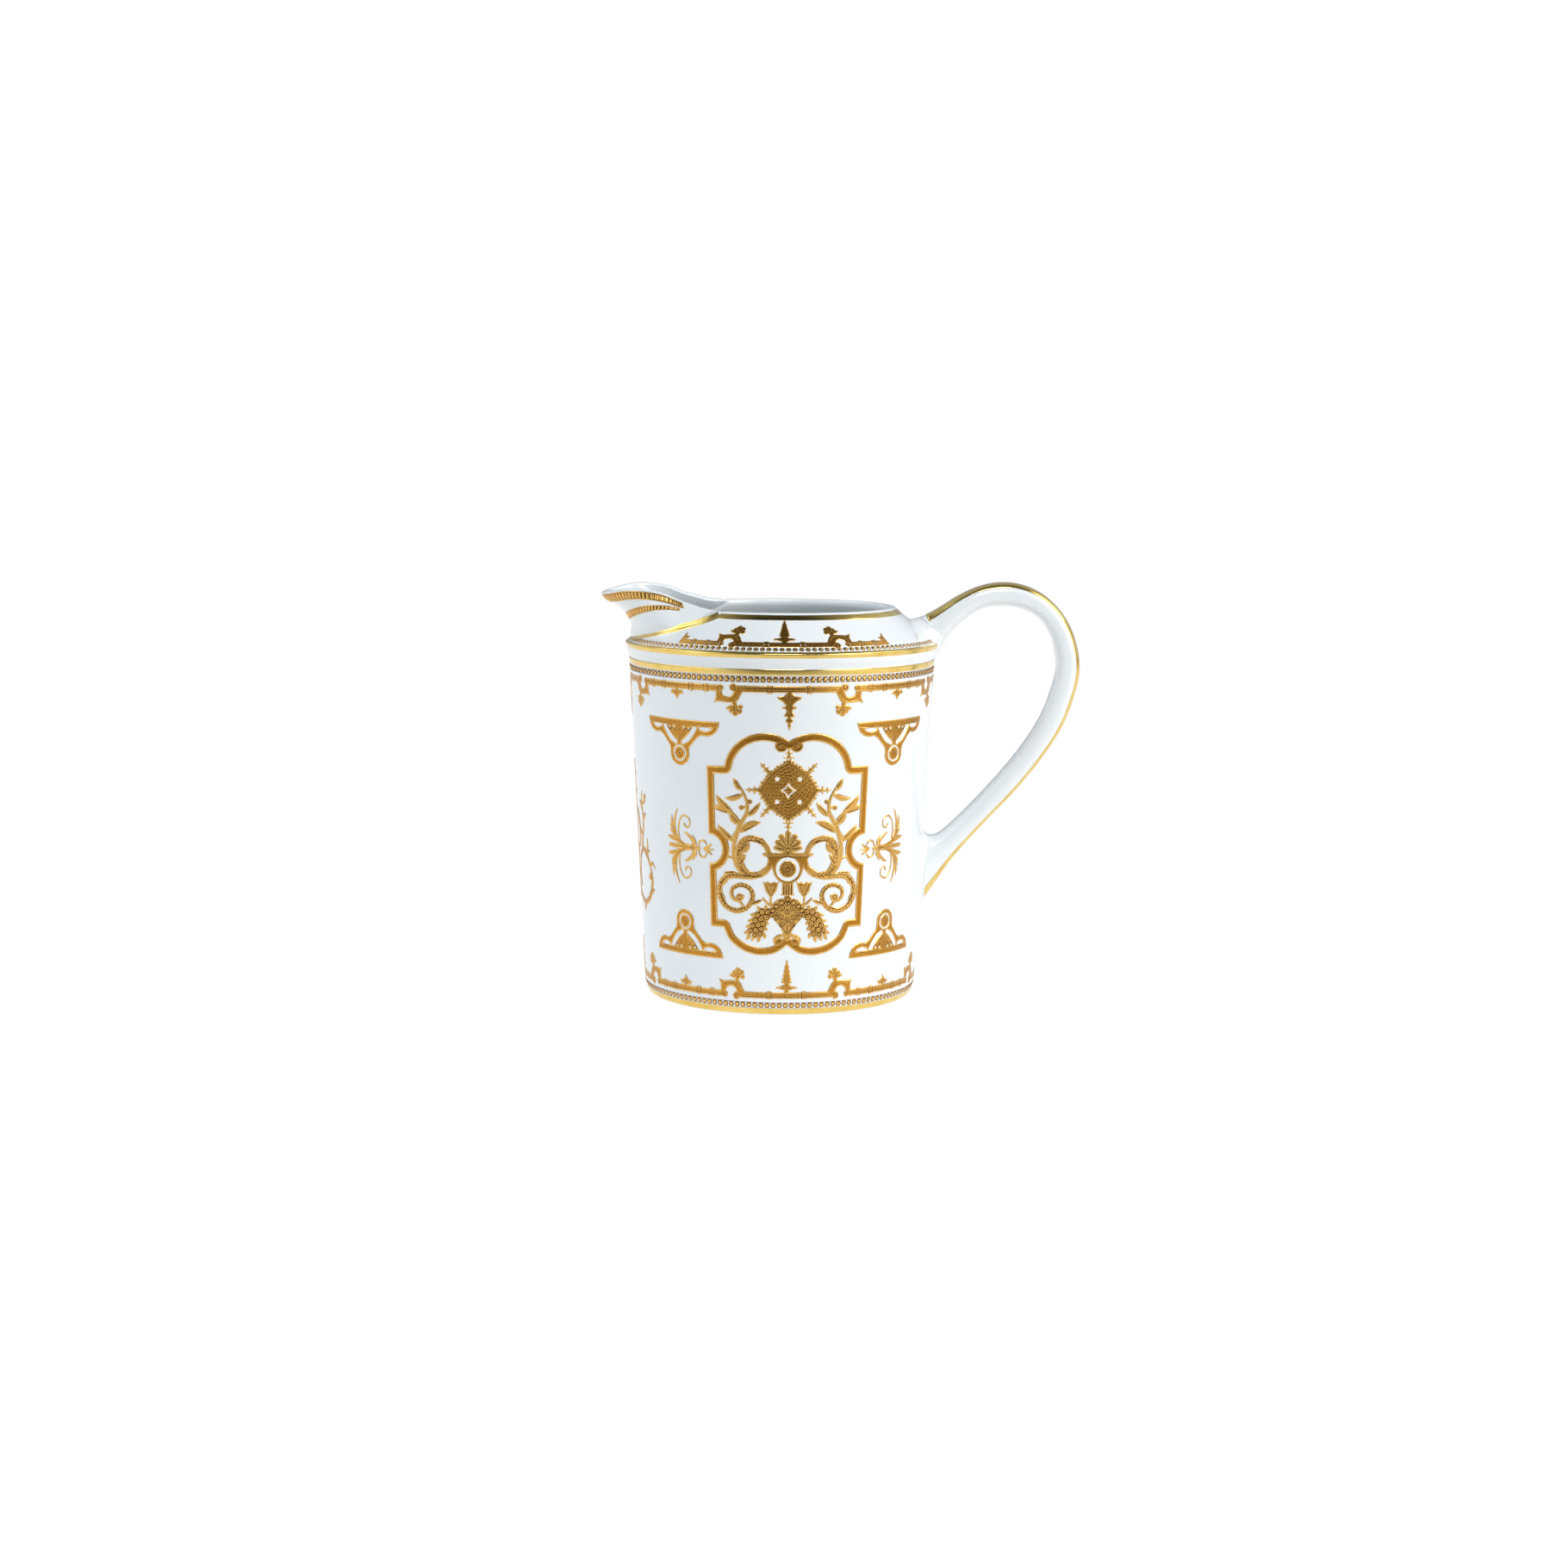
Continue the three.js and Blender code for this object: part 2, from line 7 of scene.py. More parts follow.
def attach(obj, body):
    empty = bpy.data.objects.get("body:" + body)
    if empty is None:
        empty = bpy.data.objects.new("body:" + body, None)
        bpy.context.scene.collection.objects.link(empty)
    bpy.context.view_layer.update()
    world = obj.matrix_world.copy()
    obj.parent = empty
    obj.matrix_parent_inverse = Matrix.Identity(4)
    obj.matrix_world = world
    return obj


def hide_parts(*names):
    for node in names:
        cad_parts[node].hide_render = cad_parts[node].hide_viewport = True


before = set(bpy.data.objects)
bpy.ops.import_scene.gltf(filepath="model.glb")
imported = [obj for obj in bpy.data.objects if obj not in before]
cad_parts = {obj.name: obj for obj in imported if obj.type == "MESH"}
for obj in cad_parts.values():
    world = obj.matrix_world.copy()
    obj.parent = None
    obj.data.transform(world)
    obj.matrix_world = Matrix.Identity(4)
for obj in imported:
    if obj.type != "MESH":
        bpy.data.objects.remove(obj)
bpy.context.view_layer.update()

# Millimetres about the turned body's axis; make() moves everything to the row frame and to metres.
AXIS_X = -14.2
ORN_AZ = 2.9        # the ornament's middle, degrees from -Y towards +X
DEG = 0.6144        # millimetres along the wall to a degree


def wall_r(z):
    return 33.21 + 0.05088 * (z - 8.0)


def shoulder_z(r):
    return 85.95 + (37.95 - r) * (8.25 / 10.2)


def smooth(x):
    x = np.clip(x, 0.0, 1.0)
    return x * x * (3 - 2 * x)


# ------------------------------------------------------------------ materials
def new_material(name):
    m = bpy.data.materials.new(name)
    m.use_nodes = True
    nt = m.node_tree
    for n in list(nt.nodes):
        nt.nodes.remove(n)
    out = nt.nodes.new("ShaderNodeOutputMaterial")
    bsdf = nt.nodes.new("ShaderNodeBsdfPrincipled")
    nt.links.new(bsdf.outputs["BSDF"], out.inputs["Surface"])
    return m, nt, bsdf


def noise(nt, coord, scale, detail=3.0, rough=0.5, distortion=0.0):
    n = nt.nodes.new("ShaderNodeTexNoise")
    n.inputs["Scale"].default_value = scale
    n.inputs["Detail"].default_value = detail
    n.inputs["Roughness"].default_value = rough
    n.inputs["Distortion"].default_value = distortion
    nt.links.new(coord, n.inputs["Vector"])
    return n.outputs["Fac"]


def ramp(nt, value, stops):
    r = nt.nodes.new("ShaderNodeValToRGB")
    els = r.color_ramp.elements
    while len(els) < len(stops):
        els.new(0.5)
    for e, (p, c) in zip(els, stops):
        e.position = p
        e.color = (c[0], c[1], c[2], 1.0)
    nt.links.new(value, r.inputs["Fac"])
    return r.outputs["Color"]


def spread(nt, value, lo, hi, a=0.3, b=0.7):
    n = nt.nodes.new("ShaderNodeMapRange")
    n.inputs["From Min"].default_value = a
    n.inputs["From Max"].default_value = b
    n.inputs["To Min"].default_value = lo
    n.inputs["To Max"].default_value = hi
    nt.links.new(value, n.inputs["Value"])
    return n.outputs["Result"]


def mixed(nt, a, b, fac, mode="MULTIPLY"):
    n = nt.nodes.new("ShaderNodeMix")
    n.data_type = "RGBA"
    n.blend_type = mode
    n.inputs["Factor"].default_value = fac
    nt.links.new(a, n.inputs["A"])
    nt.links.new(b, n.inputs["B"])
    return n.outputs["Result"]


def bump(nt, bsdf, height, strength, distance):
    n = nt.nodes.new("ShaderNodeBump")
    n.inputs["Strength"].default_value = strength
    n.inputs["Distance"].default_value = distance
    nt.links.new(height, n.inputs["Height"])
    nt.links.new(n.outputs["Normal"], bsdf.inputs["Normal"])


def coords(nt):
    return nt.nodes.new("ShaderNodeTexCoord").outputs["Object"]


def porcelain_material():
    m, nt, b = new_material("glazed_porcelain")
    c = coords(nt)
    cloud = noise(nt, c, 38.0, 4.0, 0.55)
    tint = ramp(nt, cloud, [(0.3, (0.83, 0.862, 0.875)), (0.55, (0.86, 0.885, 0.895)), (0.75, (0.875, 0.897, 0.905))])
    speck = ramp(nt, noise(nt, c, 900.0, 2.0, 0.6), [(0.2, (0.965, 0.965, 0.96)), (0.42, (1, 1, 1))])
    nt.links.new(mixed(nt, tint, speck, 1.0), b.inputs["Base Color"])
    nt.links.new(spread(nt, noise(nt, c, 160.0, 3.0), 0.10, 0.20), b.inputs["Roughness"])
    b.inputs["IOR"].default_value = 1.52
    b.inputs["Coat Weight"].default_value = 0.6
    b.inputs["Coat Roughness"].default_value = 0.07
    bump(nt, b, noise(nt, c, 240.0, 2.0), 0.05, 0.0004)
    return m


def gilt_material():
    m, nt, b = new_material("burnished_gold")
    c = coords(nt)
    tone = ramp(nt, noise(nt, c, 210.0, 4.0, 0.6), [(0.3, (0.80, 0.53, 0.13)), (0.5, (0.88, 0.62, 0.18)), (0.72, (0.93, 0.70, 0.25))])
    nt.links.new(tone, b.inputs["Base Color"])
    nt.links.new(spread(nt, noise(nt, c, 1100.0, 3.0, 0.6), 0.12, 0.21), b.inputs["Roughness"])
    b.inputs["Metallic"].default_value = 1.0
    bump(nt, b, noise(nt, c, 1500.0, 2.0), 0.12, 0.00004)
    return m


def etched_material():
    m, nt, b = new_material("etched_gold")
    c = coords(nt)
    a = nt.nodes.new("ShaderNodeAttribute")
    a.attribute_name = "tone"
    # low tones give near-black brown, the painted shade in grooves and along shape edges; tones near 0.25 give bright
    # gold, the painted highlight on rims, ridges and bead tops; higher tones are the fill colours
    body = ramp(nt, a.outputs["Fac"], [
        (0.0, (0.06, 0.022, 0.004)), (0.12, (0.26, 0.095, 0.015)), (0.25, (0.96, 0.60, 0.19)),
        (0.5, (0.72, 0.345, 0.052)), (0.9, (0.43, 0.162, 0.018))])
    grain = ramp(nt, noise(nt, c, 2600.0, 3.0, 0.7), [(0.3, (0.66, 0.62, 0.56)), (0.6, (1.0, 1.0, 1.0))])
    nt.links.new(mixed(nt, body, grain, 1.0), b.inputs["Base Color"])
    nt.links.new(spread(nt, noise(nt, c, 2000.0, 3.0, 0.6), 0.24, 0.36), b.inputs["Roughness"])
    b.inputs["Metallic"].default_value = 1.0
    bump(nt, b, noise(nt, c, 3000.0, 3.0, 0.7), 0.3, 0.00006)
    return m


PORCELAIN = porcelain_material()
GILT = gilt_material()
ETCHED = etched_material()


# --------------------------------------------------------------------- meshes
def make(node, points, faces, material, tone=None):
    """One piece: it stands for the CAD node of that name."""
    p = np.asarray(points, float).reshape(-1, 3).copy()
    p[:, 0] += AXIS_X
    me = bpy.data.meshes.new(node + "_form")
    polys = []
    for f in faces:
        polys.extend(np.asarray(f).tolist())
    me.from_pydata((p * 0.001).tolist(), [], polys)
    me.polygons.foreach_set("use_smooth", np.ones(len(me.polygons), bool))
    if tone is not None:
        at = me.attributes.new("tone", "FLOAT", "POINT")
        at.data.foreach_set("value", np.asarray(tone, np.float32))
    me.update()
    o = bpy.data.objects.new(node + "_form", me)
    bpy.context.scene.collection.objects.link(o)
    me.materials.append(material)
    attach(o, "root")
    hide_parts(node)
    return o


def grid_quads(nu, nv, wrap_u=False, wrap_v=False, flip=False):
    u = np.arange(nu if wrap_u else nu - 1)
    v = np.arange(nv if wrap_v else nv - 1)
    U, W = np.meshgrid(u, v, indexing="ij")
    U2, W2 = (U + 1) % nu, (W + 1) % nv
    q = np.stack([U * nv + W, U2 * nv + W, U2 * nv + W2, U * nv + W2], -1).reshape(-1, 4)
    return q[:, ::-1] if flip else q


def turn(profile, n=288, a0=0.0, a1=360.0):
    """Surface of revolution; azimuth in degrees from -Y towards +X."""
    full = abs(a1 - a0 - 360.0) < 1e-9
    a = np.radians(np.linspace(a0, a1, n, endpoint=not full))
    pr = np.asarray(profile, float)
    r, z = pr[:, 0], pr[:, 1]
    P = np.stack([np.sin(a)[:, None] * r, -np.cos(a)[:, None] * r, np.broadcast_to(z, (len(a), len(z)))], -1)
    return P, full


def catmull(points, s):
    """Catmull-Rom through the points; s counts from one point to the next."""
    p = np.asarray(points, float)
    s = np.asarray(s, float)
    n = len(p)
    i = np.clip(np.floor(s).astype(int), 0, n - 2)
    t = (s - i)[..., None]
    ext = np.concatenate([[2 * p[0] - p[1]], p, [2 * p[-1] - p[-2]]])
    a, b, c, d = ext[i], ext[i + 1], ext[i + 2], ext[i + 3]
    return 0.5 * (2 * b + (c - a) * t + (2 * a - 5 * b + 4 * c - d) * t ** 2 + (3 * b - a - 3 * c + d) * t ** 3)


def curve(points, per=6):
    n = len(points)
    return catmull(points, np.linspace(0, n - 1, (n - 1) * per + 1))


def offset_profile(points, d):
    p = np.asarray(points, float)
    t = np.gradient(p, axis=0)
    n = np.stack([t[:, 1], -t[:, 0]], 1)
    n /= np.linalg.norm(n, axis=1)[:, None]
    return p + n * np.asarray(d)[..., None]


# ---------------------------------------------------------------------- spout
# azimuth from -X and radius of the seam on the shoulder, then the lip's x, y, z
SPOUT = [
    (58.7, 27.75, -14.4, 23.7, 94.75), (53.0, 29.4, -19.0, 20.3, 95.6), (46.0, 31.1, -24.0, 17.6, 97.0),
    (38.0, 32.6, -29.0, 15.9, 98.75), (30.0, 33.9, -34.0, 14.2, 99.4), (22.0, 35.0, -38.0, 11.6, 99.2),
    (14.0, 35.9, -41.3, 7.8, 98.5), (7.0, 36.5, -43.2, 3.9, 98.1), (0.0, 36.8, -43.9, 0.0, 97.9),
]
SEAM = [(-r * math.cos(math.radians(a)), -r * math.sin(math.radians(a)), shoulder_z(r)) for a, r, _, _, _ in SPOUT]
SEAM += [(x, -y, z) for x, y, z in SEAM[-2::-1]]
LIP = [(x, -y, z) for _, _, x, y, z in SPOUT]
LIP += [(x, -y, z) for x, y, z in LIP[-2::-1]]
FLARE = np.array([(-0.06, 0.0), (0.0, 0.0), (0.06, 0.01), (0.18, -0.01), (0.3, -0.02), (0.41, 0.036), (0.53, 0.13), (0.645, 0.284),
                  (0.76, 0.55), (0.88, 0.86), (1.0, 1.0)])
LIP_DROP = 0.42


def flare(v):
    """smooth table lookup"""
    x, y = FLARE[:, 0], FLARE[:, 1]
    m = np.gradient(y, x)
    i = np.clip(np.searchsorted(x, v, side="right") - 1, 0, len(x) - 2)
    h = x[i + 1] - x[i]
    t = (v - x[i]) / h
    return ((2 * t ** 3 - 3 * t ** 2 + 1) * y[i] + (t ** 3 - 2 * t ** 2 + t) * h * m[i]
            + (-2 * t ** 3 + 3 * t ** 2) * y[i + 1] + (t ** 3 - t ** 2) * h * m[i + 1])


def spout_outer(t, v):
    t, v = np.broadcast_arrays(np.asarray(t, float), np.asarray(v, float))
    B = catmull(SEAM, t * 16)
    T = catmull(LIP, t * 16)
    T = T - np.array([0, 0, LIP_DROP])
    front = np.clip(1 - np.abs(t - 0.5) * 2.6, 0, None)
    front = front * front * (3 - 2 * front)
    e = flare(v) * front + v * (1 - front)
    return np.stack([B[..., 0] + (T[..., 0] - B[..., 0]) * e, B[..., 1] + (T[..., 1] - B[..., 1]) * e,
                     B[..., 2] + (T[..., 2] - B[..., 2]) * v], -1)


def spout_normal(t, v, dt=0.004, dv=0.02):
    """outward normal of the outer face"""
    a = spout_outer(np.clip(t + dt, 0, 1), v) - spout_outer(np.clip(t - dt, 0, 1), v)
    u = spout_outer(t, v + dv) - spout_outer(t, v - dv)
    n = np.cross(u, a)
    return n / np.maximum(np.linalg.norm(n, axis=-1, keepdims=True), 1e-9)


def flat_in(t):
    a = catmull(SEAM, np.clip(t - 0.01, 0, 1) * 16)
    b = catmull(SEAM, np.clip(t + 0.01, 0, 1) * 16)
    d = b - a
    d[..., 2] = 0
    d /= np.linalg.norm(d, axis=-1, keepdims=True)
    return np.stack([-d[..., 1], d[..., 0], np.zeros_like(d[..., 0])], -1) * -1.0


def build_spout():
    nt_, nv_ = 161, 30
    t = np.linspace(0, 1, nt_)
    v = np.linspace(-0.035, 1, nv_)
    T, W = np.meshgrid(t, v, indexing="ij")
    outer = spout_outer(T, W)
    n = spout_normal(T, W)
    fi = flat_in(T)
    test = outer[nt_ // 2, nv_ // 2]
    if np.dot(n[nt_ // 2, nv_ // 2], [-1, 0, 0]) < 0:
        n = -n
    if np.dot(fi[nt_ // 2, 0], [1, 0, 0]) < 0:
        fi = -fi
    edge_t = np.clip(np.abs(T - 0.5) * 2 * 6 - 5.0, 0, 1)
    low = np.clip(np.maximum(1 - W * 1.8, edge_t), 0, 1)
    top = smooth((W - 0.72) / 0.28) * (1 - edge_t)
    d = -n * (1 - low)[..., None] + fi * low[..., None]
    flat_top = d.copy()
    flat_top[..., 2] *= 0.25
    d = d * (1 - top)[..., None] + flat_top * top[..., None]
    d /= np.linalg.norm(d, axis=-1, keepdims=True)
    width = 1.9 - 0.3 * smooth(W) * np.sin(np.pi * T)
    inner = outer + d * width[..., None]
    # the lip is rounded over from the outer to the inner edge
    k = np.linspace(0, 1, 9)[1:-1]
    a, b = outer[:, -1], inner[:, -1]
    lip = [a + (b - a) * (1 - math.cos(math.pi * s)) / 2 + np.array([0, 0, LIP_DROP + 0.03]) * math.sin(math.pi * s) for s in k]
    rows = np.concatenate([outer, np.stack(lip, 1), inner[:, ::-1]], 1)
    P = rows
    nu, nv = P.shape[:2]
    q = grid_quads(nu, nv, False, True)
    caps = [np.arange(nv)[::-1][None, :], ((nu - 1) * nv + np.arange(nv))[None, :]]
    make("spout", P, [q[:, ::-1], caps[0], caps[1]], PORCELAIN)


build_spout()

# ----------------------------------------------------------------------- body
OUT_LOW = [(27.6, 0.0), (28.0, -0.0), (30.7, 0.0), (31.15, 0.04), (31.5, 0.16), (31.8, 0.36), (32.05, 0.62), (32.3, 1.0), (32.48, 1.4), (32.64, 1.85),
           (32.78, 2.4), (32.9, 2.9), (wall_r(3.6), 3.6), (wall_r(4.6), 4.6)]
OUT_WALL = [(wall_r(z), z) for z in np.linspace(8, 79, 16)]
OUT_COLLAR = [(wall_r(80), 80.0), (wall_r(80.8), 80.8), (36.93, 81.4), (36.96, 82.0), (36.99, 82.4), (37.06, 82.75), (37.18, 83.1), (37.36, 83.5),
              (37.52, 83.85), (37.64, 84.25), (37.71, 84.7), (37.75, 85.1), (37.8, 85.4), (37.88, 85.65), (37.935, 85.85), (37.93, 86.0), (37.86, 86.12), (37.7, 86.25)]
SHOULDER = 9
RIM = [(27.95, 94.04), (27.75, 94.2), (27.62, 94.38), (27.42, 94.58), (27.15, 94.75), (26.85, 94.82), (26.5, 94.8), (26.2, 94.68), (26.0, 94.48), (25.87, 94.2), (25.85, 93.8), (25.95, 93.05)]
INNER_WALL = [(34.2, 86.4), (34.6, 85.7), (34.72, 84.6), (34.71, 81.0), (wall_r(60) - 2.2, 60), (wall_r(30) - 2.2, 30), (wall_r(12) - 2.2, 12.0), (30.9, 9.0), (30.0, 7.2), (28.6, 5.9), (26.6, 5.1), (22.0, 4.75), (10.0, 4.62), (0.02, 4.6)]
UNDER = [(0.02, 2.1), (12.0, 2.02), (24.0, 1.8), (26.0, 1.62), (26.9, 1.1), (27.35, 0.35), (27.6, 0.0)]


def build_body():
    n = 360
    alpha = np.linspace(-180, 180, n, endpoint=False)       # from -X, towards -Y
    s_az = np.array([p[0] for p in SPOUT])[::-1]
    s_r = np.array([p[1] for p in SPOUT])[::-1]
    fine = np.linspace(0, 8, 200)
    table = catmull([(p[0], p[1]) for p in SPOUT], fine)
    rs = np.interp(np.abs(alpha), table[::-1, 0], table[::-1, 1], right=27.75)
    cols = []
    for r_seam in rs:
        dr = r_seam - 27.75
        dz = shoulder_z(r_seam) - shoulder_z(27.75)
        rim = [(r + dr, z + dz) for r, z in RIM]
        start = (37.7, 86.25)
        end = rim[0]
        mid = [(start[0] + (end[0] - start[0]) * k, start[1] + (end[1] - start[1]) * k) for k in np.linspace(0, 1, SHOULDER + 2)[1:-1]]
        rim[-1] = (min(rim[-1][0], 34.05), max(rim[-1][1], 86.6))
        rim[-2] = (min(rim[-2][0], 34.1), max(rim[-2][1], 86.75))
        last = rim[-1]
        inn = [(last[0] + (34.2 - last[0]) * k, last[1] + (86.4 - last[1]) * k) for k in (0.33, 0.66)]
        cols.append(UNDER[:-1] + OUT_LOW + OUT_WALL + OUT_COLLAR + mid + rim + inn + INNER_WALL)
    C = np.array(cols)
    a = np.radians(alpha)[:, None]
    P = np.stack([-C[..., 0] * np.cos(a), -C[..., 0] * np.sin(a), C[..., 1]], -1)
    nu, nv = P.shape[:2]
    q = grid_quads(nu, nv, True, True)
    make("body", P, [q], PORCELAIN)


build_body()


def body_depth(P):
    """how deep a point is inside the body's outer face, with its depths under the wall and under the shoulder"""
    r = np.hypot(P[..., 0], P[..., 1])
    z = P[..., 2]
    prof = np.array(OUT_LOW[2:] + OUT_WALL + OUT_COLLAR)
    rw = np.interp(z, prof[:, 1], prof[:, 0])
    d1 = rw - r
    d2 = (shoulder_z(r) - z) * 0.7775
    return np.minimum(d1, d2), d1, d2


# --------------------------------------------------------------------- handle
HANDLE = np.array([
    (30.6, 91.0, 34.6, 75.6), (33.4, 92.2, 37.4, 82.4), (36.0, 93.3, 39.5, 86.3), (38.6, 94.8, 41.6, 89.2), (42.66, 97.4, 45.6, 92.8),
    (47.5, 99.65, 49.3, 94.75), (52.64, 100.7, 52.9, 95.15), (57.8, 100.25, 56.3, 94.95), (62.7, 98.2, 59.9, 93.75),
    (66.8, 94.7, 62.9, 91.6), (70.0, 89.9, 65.3, 87.7), (71.9, 84.0, 66.4, 83.2), (72.25, 79.0, 66.5, 79.3),
    (71.0, 73.0, 65.5, 74.8), (68.2, 65.6, 63.1, 68.4), (63.4, 58.0, 58.6, 61.0), (57.3, 50.3, 52.9, 53.8),
    (50.5, 43.0, 46.0, 46.2), (45.0, 36.9, 40.4, 40.7), (41.2, 32.2, 37.6, 38.9), (38.0, 27.4, 35.6, 39.2),
    (34.9, 22.9, 33.9, 40.4), (32.6, 20.0, 32.0, 41.6)])


def handle_point(u, theta, grow=0.0):
    u, theta, grow = np.broadcast_arrays(np.asarray(u, float), np.asarray(theta, float), np.asarray(grow, float))
    q = catmull(HANDLE, u * (len(HANDLE) - 1))
    O, I = q[..., :2], q[..., 2:]
    C = (O + I) / 2
    N = O - I
    L = np.linalg.norm(N, axis=-1)
    N = N / L[..., None]
    w = 4.4 + 1.3 * np.clip(1 - u / 0.1, 0, None) ** 2 + 1.5 * np.clip((u - 0.82) / 0.18, 0, None) ** 2 + grow
    h = L / 2 + grow
    bend = lambda c: np.sign(c) * np.abs(c) ** (2 / 2.6)
    off = h * bend(np.sin(theta))
    return np.stack([C[..., 0] + N[..., 0] * off, w * bend(np.cos(theta)), C[..., 1] + N[..., 1] * off], -1)


def sink(P, keep=0.9):
    """moves what lies deep inside the body out to just under its face"""
    P = P.copy()
    d, d1, d2 = body_depth(P)
    deep = d > keep
    r = np.hypot(P[..., 0], P[..., 1])
    by_wall = deep & (d1 <= d2)
    k = np.where(by_wall, (r + d1 - keep) / np.maximum(r, 1e-6), 1.0)
    P[..., 0] *= k
    P[..., 1] *= k
    by_top = deep & (d1 > d2)
    P[..., 2] = np.where(by_top, P[..., 2] + (d2 - keep) / 0.7775, P[..., 2])
    return P


def superangles(n):
    """angles evenly spaced round the section"""
    return np.linspace(0, 2 * np.pi, n, endpoint=False)


def build_handle():
    nu, nv = 260, 72
    u = np.linspace(0, 1, nu)
    th = superangles(nv)
    U, TH = np.meshgrid(u, th, indexing="ij")
    P = sink(handle_point(U, TH))
    q = grid_quads(nu, nv, False, True)
    make("handle", P, [q[:, ::-1], np.arange(nv)[None, :], ((nu - 1) * nv + np.arange(nv))[None, ::-1]], PORCELAIN)


build_handle()


def build_fillet(node, u0, u1):
    """concave slip fillet round one end of the handle; u0 is inside the body, u1 well outside"""
    th = np.linspace(0, 2 * np.pi, 120, endpoint=False)
    lo, hi = np.full(len(th), u0), np.full(len(th), u1)
    for _ in range(40):
        mid = (lo + hi) / 2
        inside = body_depth(handle_point(mid, th))[0] > 0
        lo = np.where(inside, mid, lo)
        hi = np.where(inside, hi, mid)
    X = handle_point(lo, th)
    sign = 1 if u1 > u0 else -1
    # along the handle for one reach, and over the body for another
    reach = 2.6 if sign > 0 else 1.7
    out = handle_point(lo + sign * 0.02, th) - X
    out /= np.maximum(np.linalg.norm(out, axis=-1, keepdims=True), 1e-9)
    A = X + out * reach
    centre = X.mean(0)
    away = handle_point(lo, th, 0.8) - X
    away /= np.maximum(np.linalg.norm(away, axis=-1, keepdims=True), 1e-9)
    B = X + away * reach
    d, d1, d2 = body_depth(B)
    r = np.hypot(B[:, 0], B[:, 1])
    wall = d1 < d2
    k = np.where(wall, (r + d1 - 0.03) / r, 1.0)
    B[:, 0] *= k
    B[:, 1] *= k
    B[:, 2] = np.where(wall, B[:, 2], B[:, 2] + (d2 - 0.03) / 0.7775)
    rows = []
    for s in np.linspace(0, 1, 9):
        rows.append(A * (1 - s) ** 2 + (X + (A - X) * 0.12 + (B - X) * 0.12) * 2 * s * (1 - s) + B * s ** 2)
    rows.append(X - (A - X) * 0.3 - (B - X) * 0.3 + (B - X) * 0.0)
    P = np.stack(rows, 1)
    nu, nv = P.shape[:2]
    q = grid_quads(nu, nv, True, True)
    make(node, P, [q[:, ::-1] if sign > 0 else q], PORCELAIN)


build_fillet("handle_upper_slip_joint", 0.0, 0.16)
build_fillet("handle_lower_slip_joint", 1.0, 0.8)


def build_stripe():
    nu, nv = 240, 33
    u = np.linspace(0.070, 0.948, nu)
    v = np.linspace(0, 1, nv)
    U, W = np.meshgrid(u, v, indexing="ij")
    end = np.minimum(U - u[0], u[-1] - U) / 0.004
    lift = (0.02 + 0.13 * np.clip(1 - np.abs(2 * W - 1) ** 6, 0, 1)) * np.clip(end, 0, 1) - 0.03 * (1 - np.clip(end, 0, 1))
    lift = np.where((W < 1e-6) | (W > 1 - 1e-6), -0.03, lift)
    TH = np.radians(35.0) + W * np.radians(110.0)
    P = handle_point(U, TH, lift)
    under = handle_point(U, TH, -0.06)
    nuu, nvv = P.shape[:2]
    ring = np.concatenate([P, under[:, ::-1]], 1)
    q = grid_quads(nuu, ring.shape[1], False, True)
    k = ring.shape[1]
    make("handle_gilt_stripe", ring, [q[:, ::-1], np.arange(k)[None, :], ((nuu - 1) * k + np.arange(k))[None, ::-1]], GILT)


build_stripe()


def build_spout_slip():
    """the slip line hidden between the spout's foot and the shoulder"""
    t = np.linspace(0.02, 0.98, 121)
    B = catmull(SEAM, t * 16)
    f = flat_in(t)
    if f[60, 0] < 0:
        f = -f
    rows = []
    for dep, lift in ((0.25, 0.02), (0.3, 0.32), (1.4, 0.4), (1.5, 0.02)):
        q = B + f * dep
        q[:, 2] = shoulder_z(np.hypot(q[:, 0], q[:, 1])) + lift
        rows.append(q)
    P = np.stack(rows, 1)
    q = grid_quads(121, 4, False, True)
    make("spout_slip_joint", P, [q[:, ::-1], np.arange(4)[None, :], (120 * 4 + np.arange(4))[None, ::-1]], PORCELAIN)


build_spout_slip()


# ----------------------------------------------------------------- gold bands
def in_spout(x, y, margin):
    """True under the spout: inside the seam's plan, grown by margin"""
    r = np.hypot(x, y)
    az = np.degrees(np.arctan2(np.abs(y), -x))
    table = catmull([(p[0], p[1]) for p in SPOUT], np.linspace(0, 8, 200))
    rs = np.interp(az, table[::-1, 0], table[::-1, 1], right=0.0)
    return (az < 58.7 + 1.5) & (r < rs + margin)


def in_handle(P, grow):
    """True inside the handle's first or last stretch, grown a little"""
    x, y, z = P[..., 0], P[..., 1], P[..., 2]
    hit = np.zeros(x.shape, bool)
    us = np.concatenate([np.linspace(0, 0.22, 80), np.linspace(0.74, 1.0, 80)])
    q = catmull(HANDLE, us * (len(HANDLE) - 1))
    for (ox, oz, ix, iz), u in zip(q, us):
        L = math.hypot(ox - ix, oz - iz)
        nx, nz = (ox - ix) / L, (oz - iz) / L
        cx, cz = (ox + ix) / 2, (oz + iz) / 2
        along = (x - cx) * nx + (z - cz) * nz
        off = np.abs(-(x - cx) * nz + (z - cz) * nx)
        w = 4.4 + 1.3 * max(0.0, 1 - u / 0.1) ** 2 + 1.5 * max(0.0, (u - 0.82) / 0.18) ** 2 + grow
        h = L / 2 + grow
        hit |= (off < 0.6) & ((np.abs(along) / h) ** 2.6 + (np.abs(y) / w) ** 2.6 < 1) & (x > 0)
    return hit


def keep_faces(P, faces, drop):
    """leaves out the faces that have a dropped point"""
    bad = drop.reshape(-1)
    return faces[~bad[faces].any(1)]


